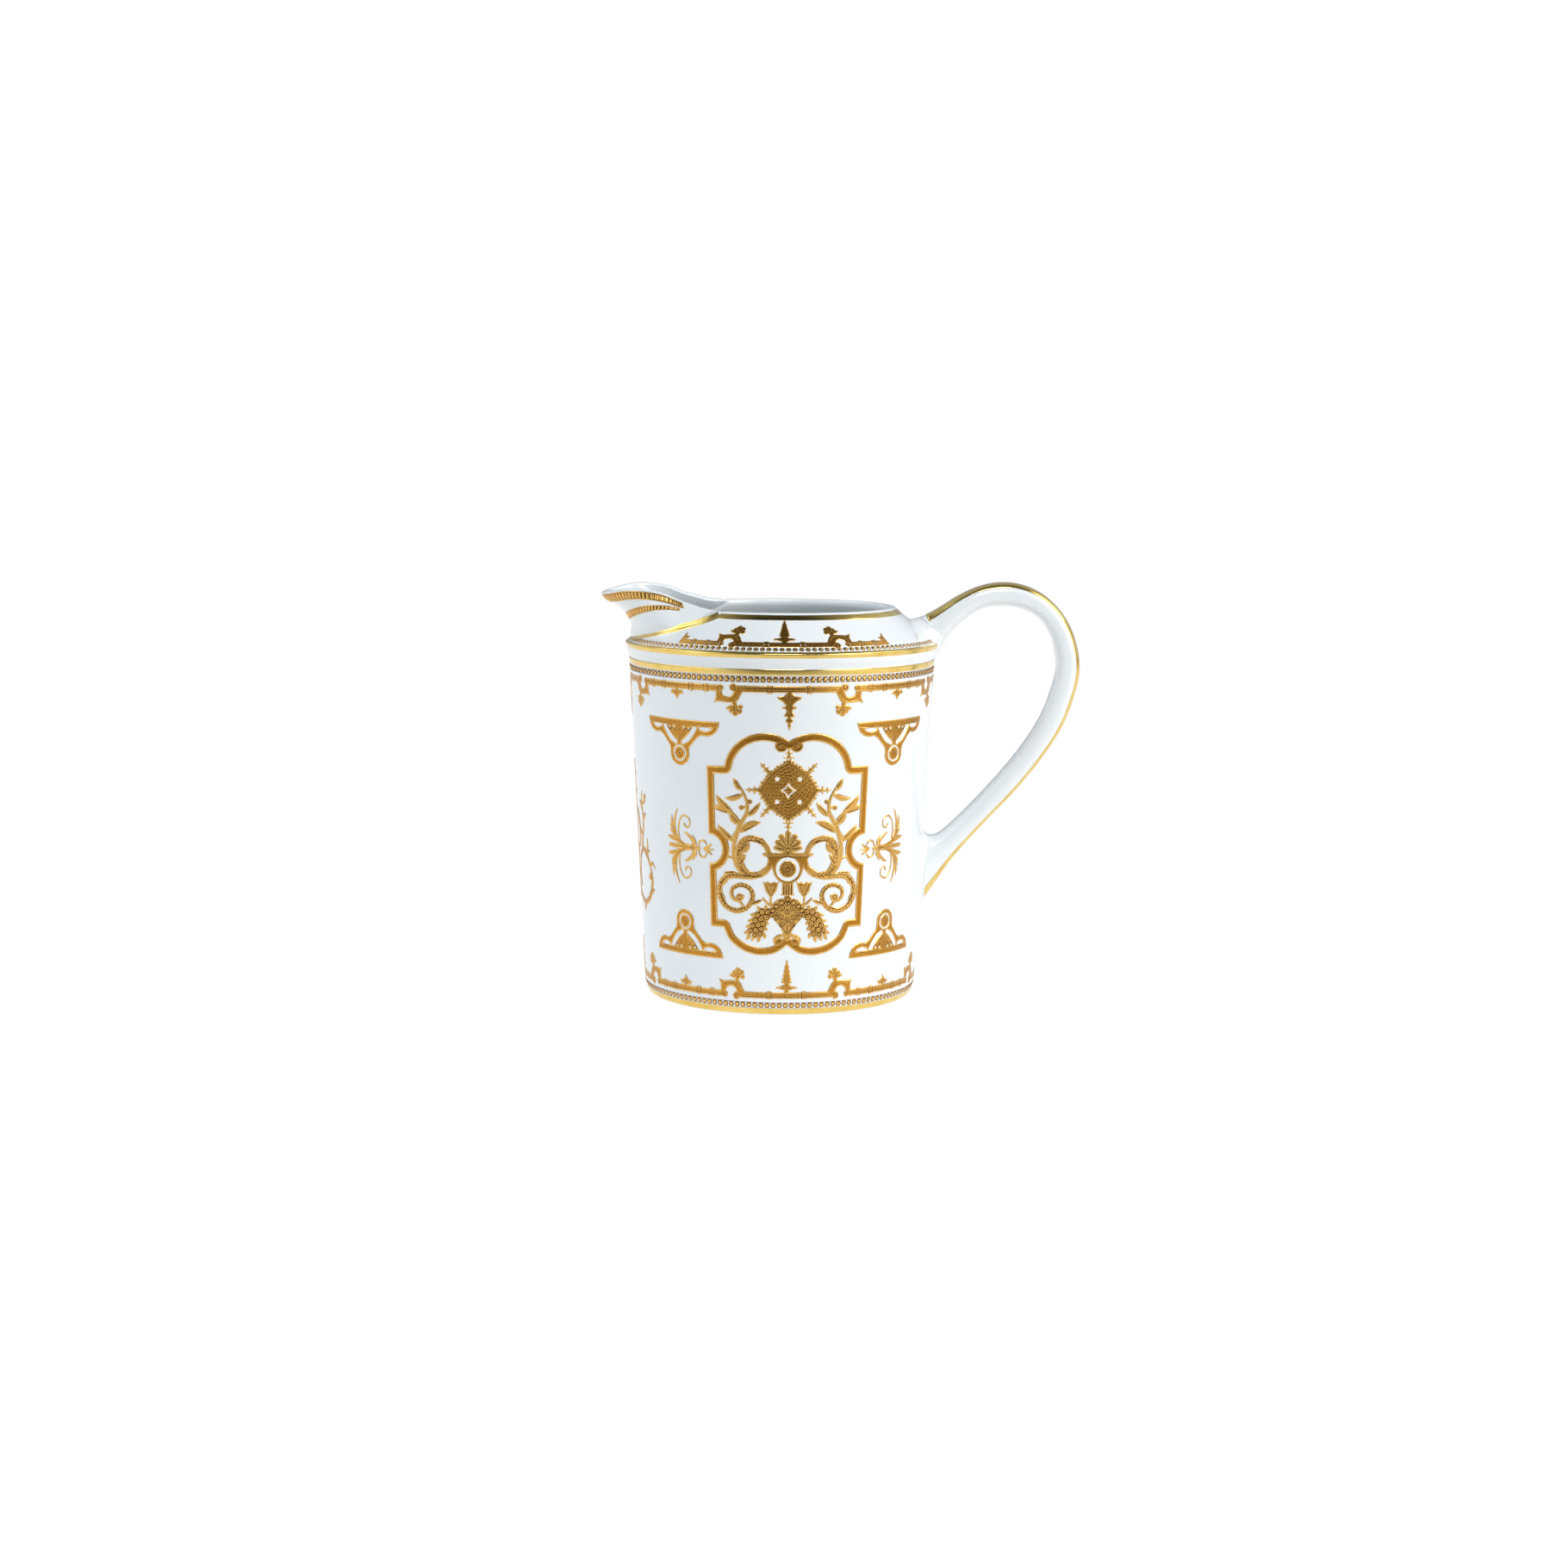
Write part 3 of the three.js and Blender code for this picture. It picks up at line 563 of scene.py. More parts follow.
def band(node, profile, height=0.12, n=720, material=None, hide=None, rows=None, tone=None):
    """a thin gold layer on a stretch of the body's profile, its edges let into the glaze"""
    pr = curve(profile, 5) if rows is None else np.asarray(profile, float)
    s = np.linspace(0, 1, len(pr))
    h = -0.04 + (height + 0.04) * np.clip(np.sin(np.pi * s), 0, 1) ** 0.35
    pp = offset_profile(pr, h)
    P, full = turn(pp, n)
    nu, nv = P.shape[:2]
    q = grid_quads(nu, nv, full, False)
    if hide is not None:
        q = keep_faces(P, q, hide(P))
    make(node, P, [q], material or GILT, tone)
    return P


near_handle = lambda P: in_handle(P, 0.25)
near_both = lambda P: in_handle(P, 0.25) | in_spout(P[..., 0], P[..., 1], 0.55)

band("foot_gilt_band", [(31.72, 0.3), (32.05, 0.62), (32.3, 1.0), (32.48, 1.4), (32.66, 1.92)], 0.11)
band("upper_gilt_band", [(wall_r(80.98) + 0.0, 80.98), (36.935 + 0.03, 81.4), (36.96 + 0.07, 82.0), (36.985 + 0.1, 82.42)], 0.08, hide=near_handle)
band("collar_gilt_band", [(37.73, 85.0), (37.8, 85.36), (37.88, 85.65), (37.935, 85.85), (37.93, 86.0), (37.86, 86.12), (37.7, 86.25), (37.3, 86.56)], 0.09, hide=near_handle)
along = lambda k: (36.25 + (27.75 - 36.25) * k, 87.34 + (94.2 - 87.34) * k)
at_mouth = lambda P: in_handle(P, 0.25) | in_spout(P[..., 0], P[..., 1], -0.3)
band("mouth_gilt_line", [along(0.85), along(0.90), along(0.95), along(1.0), (27.62, 94.38)], 0.07, hide=at_mouth)


def bead_row(node, r0, z0, r1, z1, count, bead_r, a0, a1, hide=None, phase=0.0):
    """ringed beads between two fine lines, on the slope from (r0, z0) to (r1, z1)"""
    slope = np.array([r1 - r0, z1 - z0])
    L = np.linalg.norm(slope)
    slope = slope / L
    nrm = np.array([slope[1], -slope[0]])
    mid = np.array([(r0 + r1) / 2, (z0 + z1) / 2])
    pts, faces, tones = [], [], []
    base = 0
    # backing with its two lines
    w = L / 2
    prof = [(-w, -0.04), (-w + 0.02, 0.04), (-w + 0.08, 0.06), (-w + 0.13, 0.04), (-w + 0.15, -0.04), (w - 0.15, -0.04), (w - 0.13, 0.04), (w - 0.08, 0.06), (w - 0.02, 0.04), (w, -0.04)]
    # the backing's raised lines take a paler tone, a painted highlight, and its sunk edges a dark one, painted shade
    tone = [0.08, 0.16, 0.20, 0.16, 0.08, 0.08, 0.16, 0.20, 0.16, 0.08]
    pp = np.array([mid + slope * s + nrm * h for s, h in prof])
    P, full = turn(pp, 720)
    q = grid_quads(P.shape[0], P.shape[1], full, False)
    if hide is not None:
        q = keep_faces(P, q, hide(P))
    az_mid = np.degrees(np.arctan2(P[..., 0], -P[..., 1]))
    sel = ((az_mid - a0) % 360.0) > (a1 - a0) + 1e-6
    if a1 - a0 < 359.9:
        q = keep_faces(P, q, sel)
    pts.append(P.reshape(-1, 3))
    faces.append(q)
    tones.append(np.tile(tone, P.shape[0]))
    base += P.shape[0] * P.shape[1]
    # one bead: a low dome inside a raised ring
    rad = np.array([0.0, 0.35, 0.62, 0.72, 0.86, 0.95, 1.0]) * bead_r
    hh = np.array([0.17, 0.155, 0.10, 0.08, 0.10, 0.07, -0.03])
    # bead tones: the dome's top painted pale gold, a painted highlight; the groove and ring round it dark, painted
    # shade
    tt = np.array([0.27, 0.30, 0.27, 0.08, 0.05, 0.03, 0.0])
    m = 18
    ang = np.linspace(0, 2 * np.pi, m, endpoint=False)
    lx = (np.cos(ang)[:, None] * rad[1:]).reshape(-1)
    ls = (np.sin(ang)[:, None] * rad[1:]).reshape(-1)
    lh = np.tile(hh[1:], m)
    lt = np.tile(tt[1:], m)
    lx, ls, lh, lt = [np.concatenate([[v0], v]) for v0, v in ((0.0, lx), (0.0, ls), (hh[0], lh), (tt[0], lt))]
    k = len(rad) - 1
    ring_q = grid_quads(m, k, True, False) + 1
    fan = np.stack([np.zeros(m, int), 1 + np.arange(m) * k, 1 + ((np.arange(m) + 1) % m) * k], 1)
    tri_all, quad_all = [], []
    for i in range(count):
        az = phase + i * 360.0 / count
        if a1 - a0 < 359.9 and ((az - a0) % 360.0) > (a1 - a0):
            continue
        rr = mid[0]
        A = math.radians(az) + lx / rr
        rad_ = mid[0] + slope[0] * ls + nrm[0] * lh
        zz = mid[1] + slope[1] * ls + nrm[1] * lh
        B = np.stack([rad_ * np.sin(A), -rad_ * np.cos(A), zz], -1)
        if hide is not None and hide(B[None, :1])[0, 0]:
            continue
        pts.append(B)
        tri_all.append(fan + base)
        quad_all.append(ring_q + base)
        tones.append(lt)
        base += len(B)
    faces += [np.concatenate(quad_all)[:, ::-1], np.concatenate(tri_all)]
    make(node, np.concatenate(pts), faces, ETCHED, np.concatenate(tones))


bead_row("foot_bead_row", 32.62, 1.95, wall_r(3.36), 3.36, 143, 0.66, 0, 360)
bead_row("upper_bead_row", wall_r(79.36), 79.36, wall_r(80.84), 80.84, 160, 0.67, 0, 360, hide=near_handle)
for side, a0, a1 in (("front", -90.0, 90.0), ("back", 90.0, 270.0)):
    bead_row(side + "_shoulder_bead_row", 37.24, shoulder_z(37.24), 36.1, shoulder_z(36.1), 152, 0.66, a0, a1, hide=near_both)


# ------------------------------------------------------- gold on the spout
def spout_patch(node, t0, t1, edge0, edge1, nt_, nv_, height, material, tone=None, strands=0):
    """a layer on the spout's outer face, between two edges v(t)"""
    t = np.linspace(t0, t1, nt_)
    w = np.linspace(0, 1, nv_)
    T, W = np.meshgrid(t, w, indexing="ij")
    Vv = edge0(T) * (1 - W) + edge1(T) * W
    P = spout_outer(T, Vv)
    n = spout_normal(T, Vv)
    if n[nt_ // 2, 0, 0] > 0:
        n = -n
    H, tn = height(T, W)
    P = P + n * H[..., None]
    q = grid_quads(nt_, nv_)
    make(node, P, [q[:, ::-1]], material, tn.reshape(-1) if tn is not None else None)


def rope_height(pitch):
    def f(T, W):
        s = T / pitch + W * 0.9
        strand = np.abs(np.sin(np.pi * s))
        inner = smooth((W - 0.16) / 0.05) * smooth((0.84 - W) / 0.05)
        edge = (W > 0.015) & (W < 0.985)
        ends = smooth((T - T.min()) / 0.004) * smooth((T.max() - T) / 0.004)
        lines = smooth((0.15 - np.abs(W - 0.08) * 2) / 0.1) + smooth((0.15 - np.abs(W - 0.92) * 2) / 0.1)
        h = np.where(edge, 0.03 + inner * 0.15 * strand ** 0.6 + 0.06 * np.clip(lines, 0, 1), -0.05)
        # the tone follows the strands' height: bright gold on each crest, a painted highlight, near-black in the
        # grooves between strands, painted shade; the raised edge lines are paler, painted highlight
        tone = np.where(inner > 0.5, 0.05 + 0.25 * smooth(strand * 1.25), 0.08 + 0.18 * np.clip(lines, 0, 1))
        h = h * ends - 0.05 * (1 - ends)
        return h, tone
    return f


def plain_height(T, W):
    ends = smooth((T - T.min()) / 0.006) * smooth((T.max() - T) / 0.006)
    h = -0.04 + 0.15 * np.clip(np.sin(np.pi * W), 0, 1) ** 0.4
    return h * ends - 0.05 * (1 - ends), None


bell = lambda T: np.clip(1 - np.abs(T - 0.5) * 2, 0, 1)
off = lambda T: np.clip(np.abs(T - 0.5) / 0.372, 0, 1)
spout_patch("spout_lip_rope", 0.121, 0.879, lambda T: 0.80 - 0.085 * off(T) ** 4, lambda T: 0.99 + 0.0 * T, 1000, 25, rope_height(0.0135), ETCHED)
spout_patch("spout_throat_rope", 0.138, 0.862, lambda T: 0.40 + 0.19 * off(T) ** 1.3, lambda T: 0.575 + 0.13 * off(T) ** 1.3, 900, 25, rope_height(0.0140), ETCHED)


def build_seam_line():
    t = np.linspace(0.012, 0.988, 400)
    B = catmull(SEAM, t * 16)
    f = flat_in(t)
    if f[200, 0] < 0:
        f = -f
    rows = []
    for dep, lift in ((0.25, 0.55), (0.1, 0.42), (-0.02, 0.24), (-0.14, 0.14), (-0.32, 0.11), (-0.55, 0.11), (-0.8, 0.10), (-0.95, 0.05), (-1.0, -0.05)):
        q = B + f * dep
        q[:, 2] = shoulder_z(np.minimum(np.hypot(q[:, 0], q[:, 1]), 37.7)) + lift * 1.2
        rows.append(q)
    P = np.stack(rows, 1)
    q = grid_quads(P.shape[0], P.shape[1])
    make("spout_seam_gilt_line", P, [q], GILT)


build_seam_line()


# ------------------------------------------------------------------- ornament
class Art:
    """A flat drawing in millimetres: the distance inside its outline on a grid, with engraved marks; grooves are
    painted dark as painted shade and ridges pale as painted highlight.
    """

    def __init__(self, x0, x1, z0, z1, step=0.13, mirror=True):
        nx, nz = int(round((x1 - x0) / step)) + 1, int(round((z1 - z0) / step)) + 1
        self.x, self.z = np.linspace(x0, x1, nx), np.linspace(z0, z1, nz)
        self.X, self.Z = np.meshgrid(self.x, self.z)
        self.Q = -np.abs(self.X) if mirror else self.X
        self.d = np.full(self.X.shape, -4.0)
        self.marks = []
        self.grow = 0.04

    def window(self, lo, hi):
        return (self.Q > lo[0]) & (self.Q < hi[0]) & (self.Z > lo[1]) & (self.Z < hi[1])

    def stroke(self, pts, w, taper=None):
        """a line with half-widths w (a number, a pair, or one for each point)"""
        p = np.asarray(pts, float)
        w = np.asarray(w, float)
        if w.ndim == 0:
            w = np.full(len(p), float(w))
        elif len(w) == 2 and len(p) != 2:
            w = np.linspace(w[0], w[1], len(p))
        out = np.full(self.X.shape, -4.0)
        for i in range(len(p) - 1):
            a, b, ra, rb = p[i], p[i + 1], w[i], w[i + 1]
            m = max(ra, rb) + 0.7
            sel = self.window(np.minimum(a, b) - m, np.maximum(a, b) + m)
            if not sel.any():
                continue
            x, z = self.Q[sel], self.Z[sel]
            ab = b - a
            t = np.clip(((x - a[0]) * ab[0] + (z - a[1]) * ab[1]) / max(ab @ ab, 1e-9), 0, 1)
            dist = np.hypot(x - a[0] - ab[0] * t, z - a[1] - ab[1] * t)
            out[sel] = np.maximum(out[sel], ra + (rb - ra) * t - dist)
        return out

    def line(self, pts, w, per=5):
        n = (len(pts) - 1) * per + 1
        ww = np.asarray(w, float)
        if ww.ndim == 0:
            ws = np.full(n, float(ww))
        else:
            ws = np.interp(np.linspace(0, 1, n), np.linspace(0, 1, len(ww)), ww)
        return self.stroke(curve(pts, per), ws)

    def leaf(self, a, b, w, bow=0.0, n=9):
        a, b = np.array(a, float), np.array(b, float)
        s = np.linspace(0, 1, n)
        d = b - a
        side = np.array([-d[1], d[0]])
        pts = a + d * s[:, None] + side * (bow * 4 * s * (1 - s))[:, None]
        return self.stroke(pts, w * np.sin(np.pi * s ** 0.85) ** 0.8 * 0.97 + 0.05)

    def disc(self, x, z, r, rz=None):
        if rz is None:
            return r - np.hypot(self.Q - x, self.Z - z)
        k = np.hypot((self.Q - x) / r, (self.Z - z) / rz)
        return (1 - k) * min(r, rz)

    def ring(self, x, z, r, w):
        return w / 2 - np.abs(np.hypot(self.Q - x, self.Z - z) - r)

    def box(self, x0, x1, z0, z1):
        dx = np.maximum(x0 - self.Q, self.Q - x1)
        dz = np.maximum(z0 - self.Z, self.Z - z1)
        return -np.maximum(dx, dz)

    def poly(self, pts):
        p = np.asarray(pts, float)
        best = np.full(self.X.shape, 1e9)
        inside = np.zeros(self.X.shape, bool)
        x, z = self.Q, self.Z
        for i in range(len(p)):
            a, b = p[i], p[(i + 1) % len(p)]
            ab = b - a
            t = np.clip(((x - a[0]) * ab[0] + (z - a[1]) * ab[1]) / max(ab @ ab, 1e-9), 0, 1)
            best = np.minimum(best, np.hypot(x - a[0] - ab[0] * t, z - a[1] - ab[1] * t))
            if abs(ab[1]) > 1e-12:
                cross = ((a[1] > z) != (b[1] > z)) & (x < ab[0] * (z - a[1]) / ab[1] + a[0])
                inside ^= cross
        return np.where(inside, best, -best)

    def add(self, *fs):
        for f in fs:
            self.d = np.maximum(self.d, f)

    def cut(self, *fs):
        for f in fs:
            self.d = np.minimum(self.d, -f)

    def mark(self, f, tone, relief=0.0, soft=0.09):
        self.marks.append((f, tone, relief, soft))

    # a shallow groove with its colour painted near-black: painted shade
    def painted_shade_groove(self, f, relief=-0.05):
        self.mark(f + 0.03, 0.04, relief)

    # a low ridge with its colour painted pale gold: painted highlight
    def painted_highlight_ridge(self, f, relief=0.03):
        self.mark(f, 0.28, relief)

    def surface(self, deep=0.92):
        """points as (x, z, height), faces, tones"""
        d = self.d + self.grow
        ny, nx = d.shape
        # painted shade and highlight: a near-black outline where each shape's edge drops to the glaze, a bright band
        # where it rises to its rim, then the fill tone deep inside
        base = np.interp(d, [0, 0.05, 0.13, 0.30], [0.0, 0.10, 0.26, 0.28])
        base = base + (deep - base) * smooth((d - 0.30) / 0.18)
        high = -0.05 + 0.17 * smooth(d / 0.2)
        # each mark lays in its tone and relief: grooves painted dark as painted shade, ridges painted pale as painted
        # highlight
        for f, tone, relief, soft in self.marks:
            k = smooth((f + soft * 0.5) / soft)
            base = base * (1 - k) + tone * k
            high = high + relief * k * smooth(d / 0.2)
        ins = d > 0
        a, b, c, e = ins[:-1, :-1], ins[:-1, 1:], ins[1:, 1:], ins[1:, :-1]
        case = a * 1 + b * 2 + c * 4 + e * 8
        nid = np.arange(ny * nx).reshape(ny, nx)
        hid = ny * nx + np.arange(ny * (nx - 1)).reshape(ny, nx - 1)
        vid = ny * nx + ny * (nx - 1) + np.arange((ny - 1) * nx).reshape(ny - 1, nx)
        I = {"A": nid[:-1, :-1], "B": nid[:-1, 1:], "C": nid[1:, 1:], "D": nid[1:, :-1],
             "p": hid[:-1, :], "q": vid[:, 1:], "r": hid[1:, :], "s": vid[:, :-1]}
        table = {1: ["Aps"], 2: ["Bqp"], 3: ["ABqs"], 4: ["Crq"], 5: ["Aps", "Crq"], 6: ["BCrp"], 7: ["ABCr", "Ars"],
                 8: ["Dsr"], 9: ["AprD"], 10: ["Bqp", "Dsr"], 11: ["ABq", "AqrD"], 12: ["CDsq"], 13: ["ApqC", "ACD"], 14: ["BCDs", "Bsp"], 15: ["ABCD"]}
        tris, quads = [], []
        for k, words in table.items():
            sel = case == k
            if not sel.any():
                continue
            for w in words:
                f = np.stack([I[ch][sel] for ch in w], 1)
                (tris if len(w) == 3 else quads).append(f)
        tris = np.concatenate(tris) if tris else np.zeros((0, 3), int)
        quads = np.concatenate(quads) if quads else np.zeros((0, 4), int)
        used = np.unique(np.concatenate([tris.ravel(), quads.ravel()]))
        lookup = np.full(nid.size + hid.size + vid.size, -1)
        lookup[used] = np.arange(len(used))
        X = np.empty(len(used)); Z = np.empty(len(used)); H = np.empty(len(used)); Tn = np.empty(len(used))
        n0, n1 = nid.size, nid.size + hid.size
        m = used < n0
        u = used[m]
        X[m], Z[m], H[m], Tn[m] = self.X.ravel()[u], self.Z.ravel()[u], high.ravel()[u], base.ravel()[u]
        m = (used >= n0) & (used < n1)
        u = used[m] - n0
        j, i = u // (nx - 1), u % (nx - 1)
        t = d[j, i] / (d[j, i] - d[j, i + 1])
        X[m], Z[m], H[m], Tn[m] = self.x[i] + (self.x[i + 1] - self.x[i]) * t, self.z[j], -0.05, 0.0
        m = used >= n1
        u = used[m] - n1
        j, i = u // nx, u % nx
        t = d[j, i] / (d[j, i] - d[j + 1, i])
        X[m], Z[m], H[m], Tn[m] = self.x[i], self.z[j] + (self.z[j + 1] - self.z[j]) * t, -0.05, 0.0
        return np.stack([X, Z, H], 1), lookup[tris], lookup[quads], Tn


def to_wall(s, az):
    a = np.radians(az + s[:, 0] / DEG)
    r = wall_r(s[:, 1]) + s[:, 2]
    return np.stack([r * np.sin(a), -r * np.cos(a), s[:, 1]], 1)


def to_shoulder(s, az, k=1.0):
    """x is arc length at a radius of 35.4; z is the way up the slope from the ridge"""
    r0 = 37.95 - s[:, 1] / 1.2862
    a = np.radians(az) + s[:, 0] / 35.4
    r = r0 + 0.6288 * s[:, 2]
    z = shoulder_z(r0) + 0.7776 * s[:, 2]
    return np.stack([r * np.sin(a), -r * np.cos(a), z], 1)


def lay(node, surface, azs, place=to_wall, flip=(), hide=None):
    """puts copies of a drawn surface round the body as one piece"""
    s, tris, quads, tone = surface
    pts, T, Qd, tn, base = [], [], [], [], 0
    for az in azs:
        P = place(s, az)
        t, q = tris, quads
        if hide is not None:
            bad = hide(P)
            t, q = t[~bad[t].any(1)], q[~bad[q].any(1)]
        pts.append(P)
        T.append(t + base)
        Qd.append(q + base)
        tn.append(tone)
        base += len(P)
    make(node, np.concatenate(pts), [np.concatenate(T), np.concatenate(Qd)], ETCHED, np.concatenate(tn))


def mirrored(surface):
    s, t, q, tn = surface
    s = s.copy()
    s[:, 0] *= -1
    return s, t[:, ::-1], q[:, ::-1], tn


def flipped(surface, about):
    s, t, q, tn = surface
    s = s.copy()
    s[:, 1] = 2 * about - s[:, 1]
    return s, t[:, ::-1], q[:, ::-1], tn


# -- cartouche frame; the left half is drawn and mirrored
def arc(cx, cz, r, a0, a1, n=12):
    a = np.radians(np.linspace(a0, a1, n))
    return [(cx + r * math.cos(t), cz + r * math.sin(t)) for t in a]


def frame_outline():
    left = [(0.0, 65.75)]
    left += arc(-5.6, 57.9, 9.66, 54.5, 170.5, 26)
    left += [(-19.65, 59.4), (-19.5, 43.2)]
    left += arc(-19.45, 39.65, 3.5, 88, -88, 18)
    left += [(-19.45, 36.1), (-19.35, 21.0), (-15.85, 21.02)]
    left += [tuple(p) for p in curve([(-15.75, 20.7), (-14.2, 17.95), (-10.9, 15.7), (-7.8, 14.85), (-5.6, 14.75), (-3.2, 15.2), (-1.5, 16.1), (0.0, 17.2)], 4)]
    return left + [(-x, z) for x, z in left[-2:0:-1]]


cart = Art(-20.2, 20.2, 13.9, 68.2, 0.125, True)
outline = frame_outline()
cart_signed = cart.Q.copy()
cart.Q = cart.X
ring_d = cart.poly(outline)
cart.Q = cart_signed
cart.add(np.minimum(ring_d, 1.86 - ring_d))
cart.add(cart.disc(-1.75, 64.6, 1.5), cart.disc(-1.9, 17.75, 1.28))
cart.add(cart.stroke([(-1.6, 66.0), (-0.35, 65.0), (-0.3, 64.2)], 0.42))
cart.painted_shade_groove(np.minimum(cart.ring(-1.75, 64.6, 0.85, 0.16), cart.box(-3.2, -1.0, 63.2, 65.9)))
cart.painted_shade_groove(cart.ring(-1.9, 17.75, 0.72, 0.16))
# a pale dot just off the boss's centre: a painted highlight
cart.painted_highlight_ridge(cart.disc(-1.95, 64.55, 0.3))
# pale ridges along both edges of the frame: painted highlight
cart.painted_highlight_ridge(np.minimum(0.09 - np.abs(ring_d - 0.33), 9.0))
cart.painted_highlight_ridge(np.minimum(0.09 - np.abs(ring_d - 1.55), 9.0))
cart.grow = 0.07
frame_surface = cart.surface(0.74)

# -- cartouche ornament
orn = Art(-18.4, 18.4, 17.5, 64.4, 0.12, True)
rho = (np.abs(orn.X / 6.85) ** 1.34 + np.abs((orn.Z - 54.1) / 6.8) ** 1.34) ** (1 / 1.34)
medal = (1 - rho) * 5.2
orn.add(medal)
for i in range(44):
    t = 2 * math.pi * i / 44
    c, s = math.cos(t), math.sin(t)
    k = 1.0 / (abs(c / 6.95) ** 1.34 + abs(s / 6.9) ** 1.34) ** (1 / 1.34)
    if c < 0.2:
        orn.add(orn.disc(c * k, 54.1 + s * k, 0.30 if i % 2 else 0.42))


def finial(a, x, z, ux, uz, length, w=0.62, bar=0.95):
    px, pz = -uz, ux
    a.add(a.stroke([(x, z), (x + ux * length * 0.55, z + uz * length * 0.55), (x + ux * length, z + uz * length)], [w, w * 0.5, 0.12]))
    for k, b in ((0.45, bar), (0.78, bar * 0.62)):
        cx, cz = x + ux * length * k, z + uz * length * k
        a.add(a.stroke([(cx - px * b, cz - pz * b), (cx + px * b, cz + pz * b)], [0.16, 0.16]))
        a.add(a.disc(cx, cz, 0.36))


finial(orn, 0.0, 60.4, 0, 1, 3.3, 0.7, 1.1)
finial(orn, 0.0, 47.9, 0, -1, 3.2, 0.7, 1.05)
finial(orn, -6.3, 54.1, -1, 0, 3.6, 0.62, 0.8)
finial(orn, -4.2, 57.9, -0.66, 0.75, 3.4, 0.6, 0.7)
finial(orn, -4.2, 50.3, -0.66, -0.75, 3.4, 0.6, 0.7)
orn.cut(orn.disc(0.0, 61.5, 0.22), orn.disc(0.0, 46.7, 0.2))
orn.cut(orn.disc(-2.62, 56.8, 0.50), orn.disc(-2.62, 51.4, 0.50))
star = 0.17 - np.abs((np.abs(orn.X) ** 0.75 + np.abs(orn.Z - 54.1) ** 0.75) ** (1 / 0.75) * 0.62 - 1.05)
orn.cut(star)
# scale engraving over the medallion, its grooves painted dark as painted shade
th = np.arctan2(orn.Z - 54.1, orn.X)
cell = rho * 8.0
row = np.floor(cell)
count = np.maximum(np.round(row * 5.0), 4)
saw = np.abs(((th / (2 * np.pi) * count + 0.5 * (row % 2)) % 1.0) - 0.5) * 2
scale = (cell - row) + 0.55 * saw ** 2 - 0.75
orn.mark(np.where(rho < 0.9, 0.075 - np.abs(scale) * 0.45, -1.0), 0.10, -0.05)
orn.painted_shade_groove(0.05 - np.abs(rho - 0.93) * 5.2, -0.03)

for pts, w in (
    ([(-11.4, 45.9), (-10.1, 47.9), (-9.6, 49.8), (-9.9, 51.8), (-10.7, 53.6), (-11.6, 55.0)], [0.42, 0.36, 0.30, 0.26, 0.22, 0.18]),
    ([(-11.4, 45.9), (-12.5, 47.5), (-14.0, 49.0), (-15.6, 50.4)], [0.42, 0.38, 0.3, 0.2]),
    ([(-11.4, 46.2), (-12.3, 43.2), (-13.0, 40.6), (-13.0, 38.2), (-12.2, 35.8), (-10.9, 34.3)], [0.42, 0.40, 0.38, 0.36, 0.4, 0.45]),
    ([(-12.8, 37.4), (-13.6, 37.8), (-14.5, 38.0)], [0.24, 0.18, 0.16]),
    ([(-18.0, 50.0), (-16.2, 49.9), (-14.9, 49.7)], [0.16, 0.14, 0.16]),
    ([(-9.6, 51.0), (-9.2, 51.2)], [0.2, 0.2]), ([(-9.7, 50.1), (-10.8, 49.9)], [0.2, 0.2]),
    ([(-12.4, 44.0), (-13.3, 42.6)], [0.25, 0.2]),
    # the oval loop beside the roundel
    ([(-4.4, 38.9), (-5.1, 40.7), (-6.6, 42.1), (-8.6, 42.6), (-10.4, 42.1), (-11.5, 40.5), (-11.7, 38.4), (-11.3, 36.2), (-10.1, 34.5), (-8.3, 33.9), (-6.3, 34.2), (-4.8, 35.5), (-4.1, 37.2), (-4.4, 38.9)],
     [0.5, 0.55, 0.6, 0.62, 0.66, 0.7, 0.74, 0.8, 0.72, 0.62, 0.6, 0.6, 0.55, 0.5]),
    # the long scroll with its spiral
    ([(-5.2, 35.2), (-7.2, 33.9), (-9.6, 33.5), (-12.0, 33.6), (-14.2, 33.4), (-15.9, 32.3), (-16.75, 30.4), (-16.5, 28.0), (-15.1, 26.1), (-12.6, 25.2), (-10.3, 25.8), (-8.8, 27.4), (-8.45, 29.4), (-9.6, 31.0), (-11.6, 31.4), (-13.3, 30.5), (-13.7, 28.9), (-12.7, 27.8), (-11.4, 27.9), (-11.0, 28.7)],
     [0.62, 0.62, 0.6, 0.58, 0.62, 0.62, 0.60, 0.58, 0.55, 0.52, 0.5, 0.5, 0.48, 0.46, 0.42, 0.40, 0.36, 0.34, 0.34, 0.4]),
    ([(-10.9, 26.6), (-11.8, 27.6)], [0.2, 0.25]),
):
    orn.add(orn.line(pts, np.asarray(w) * 1.08 + 0.07))
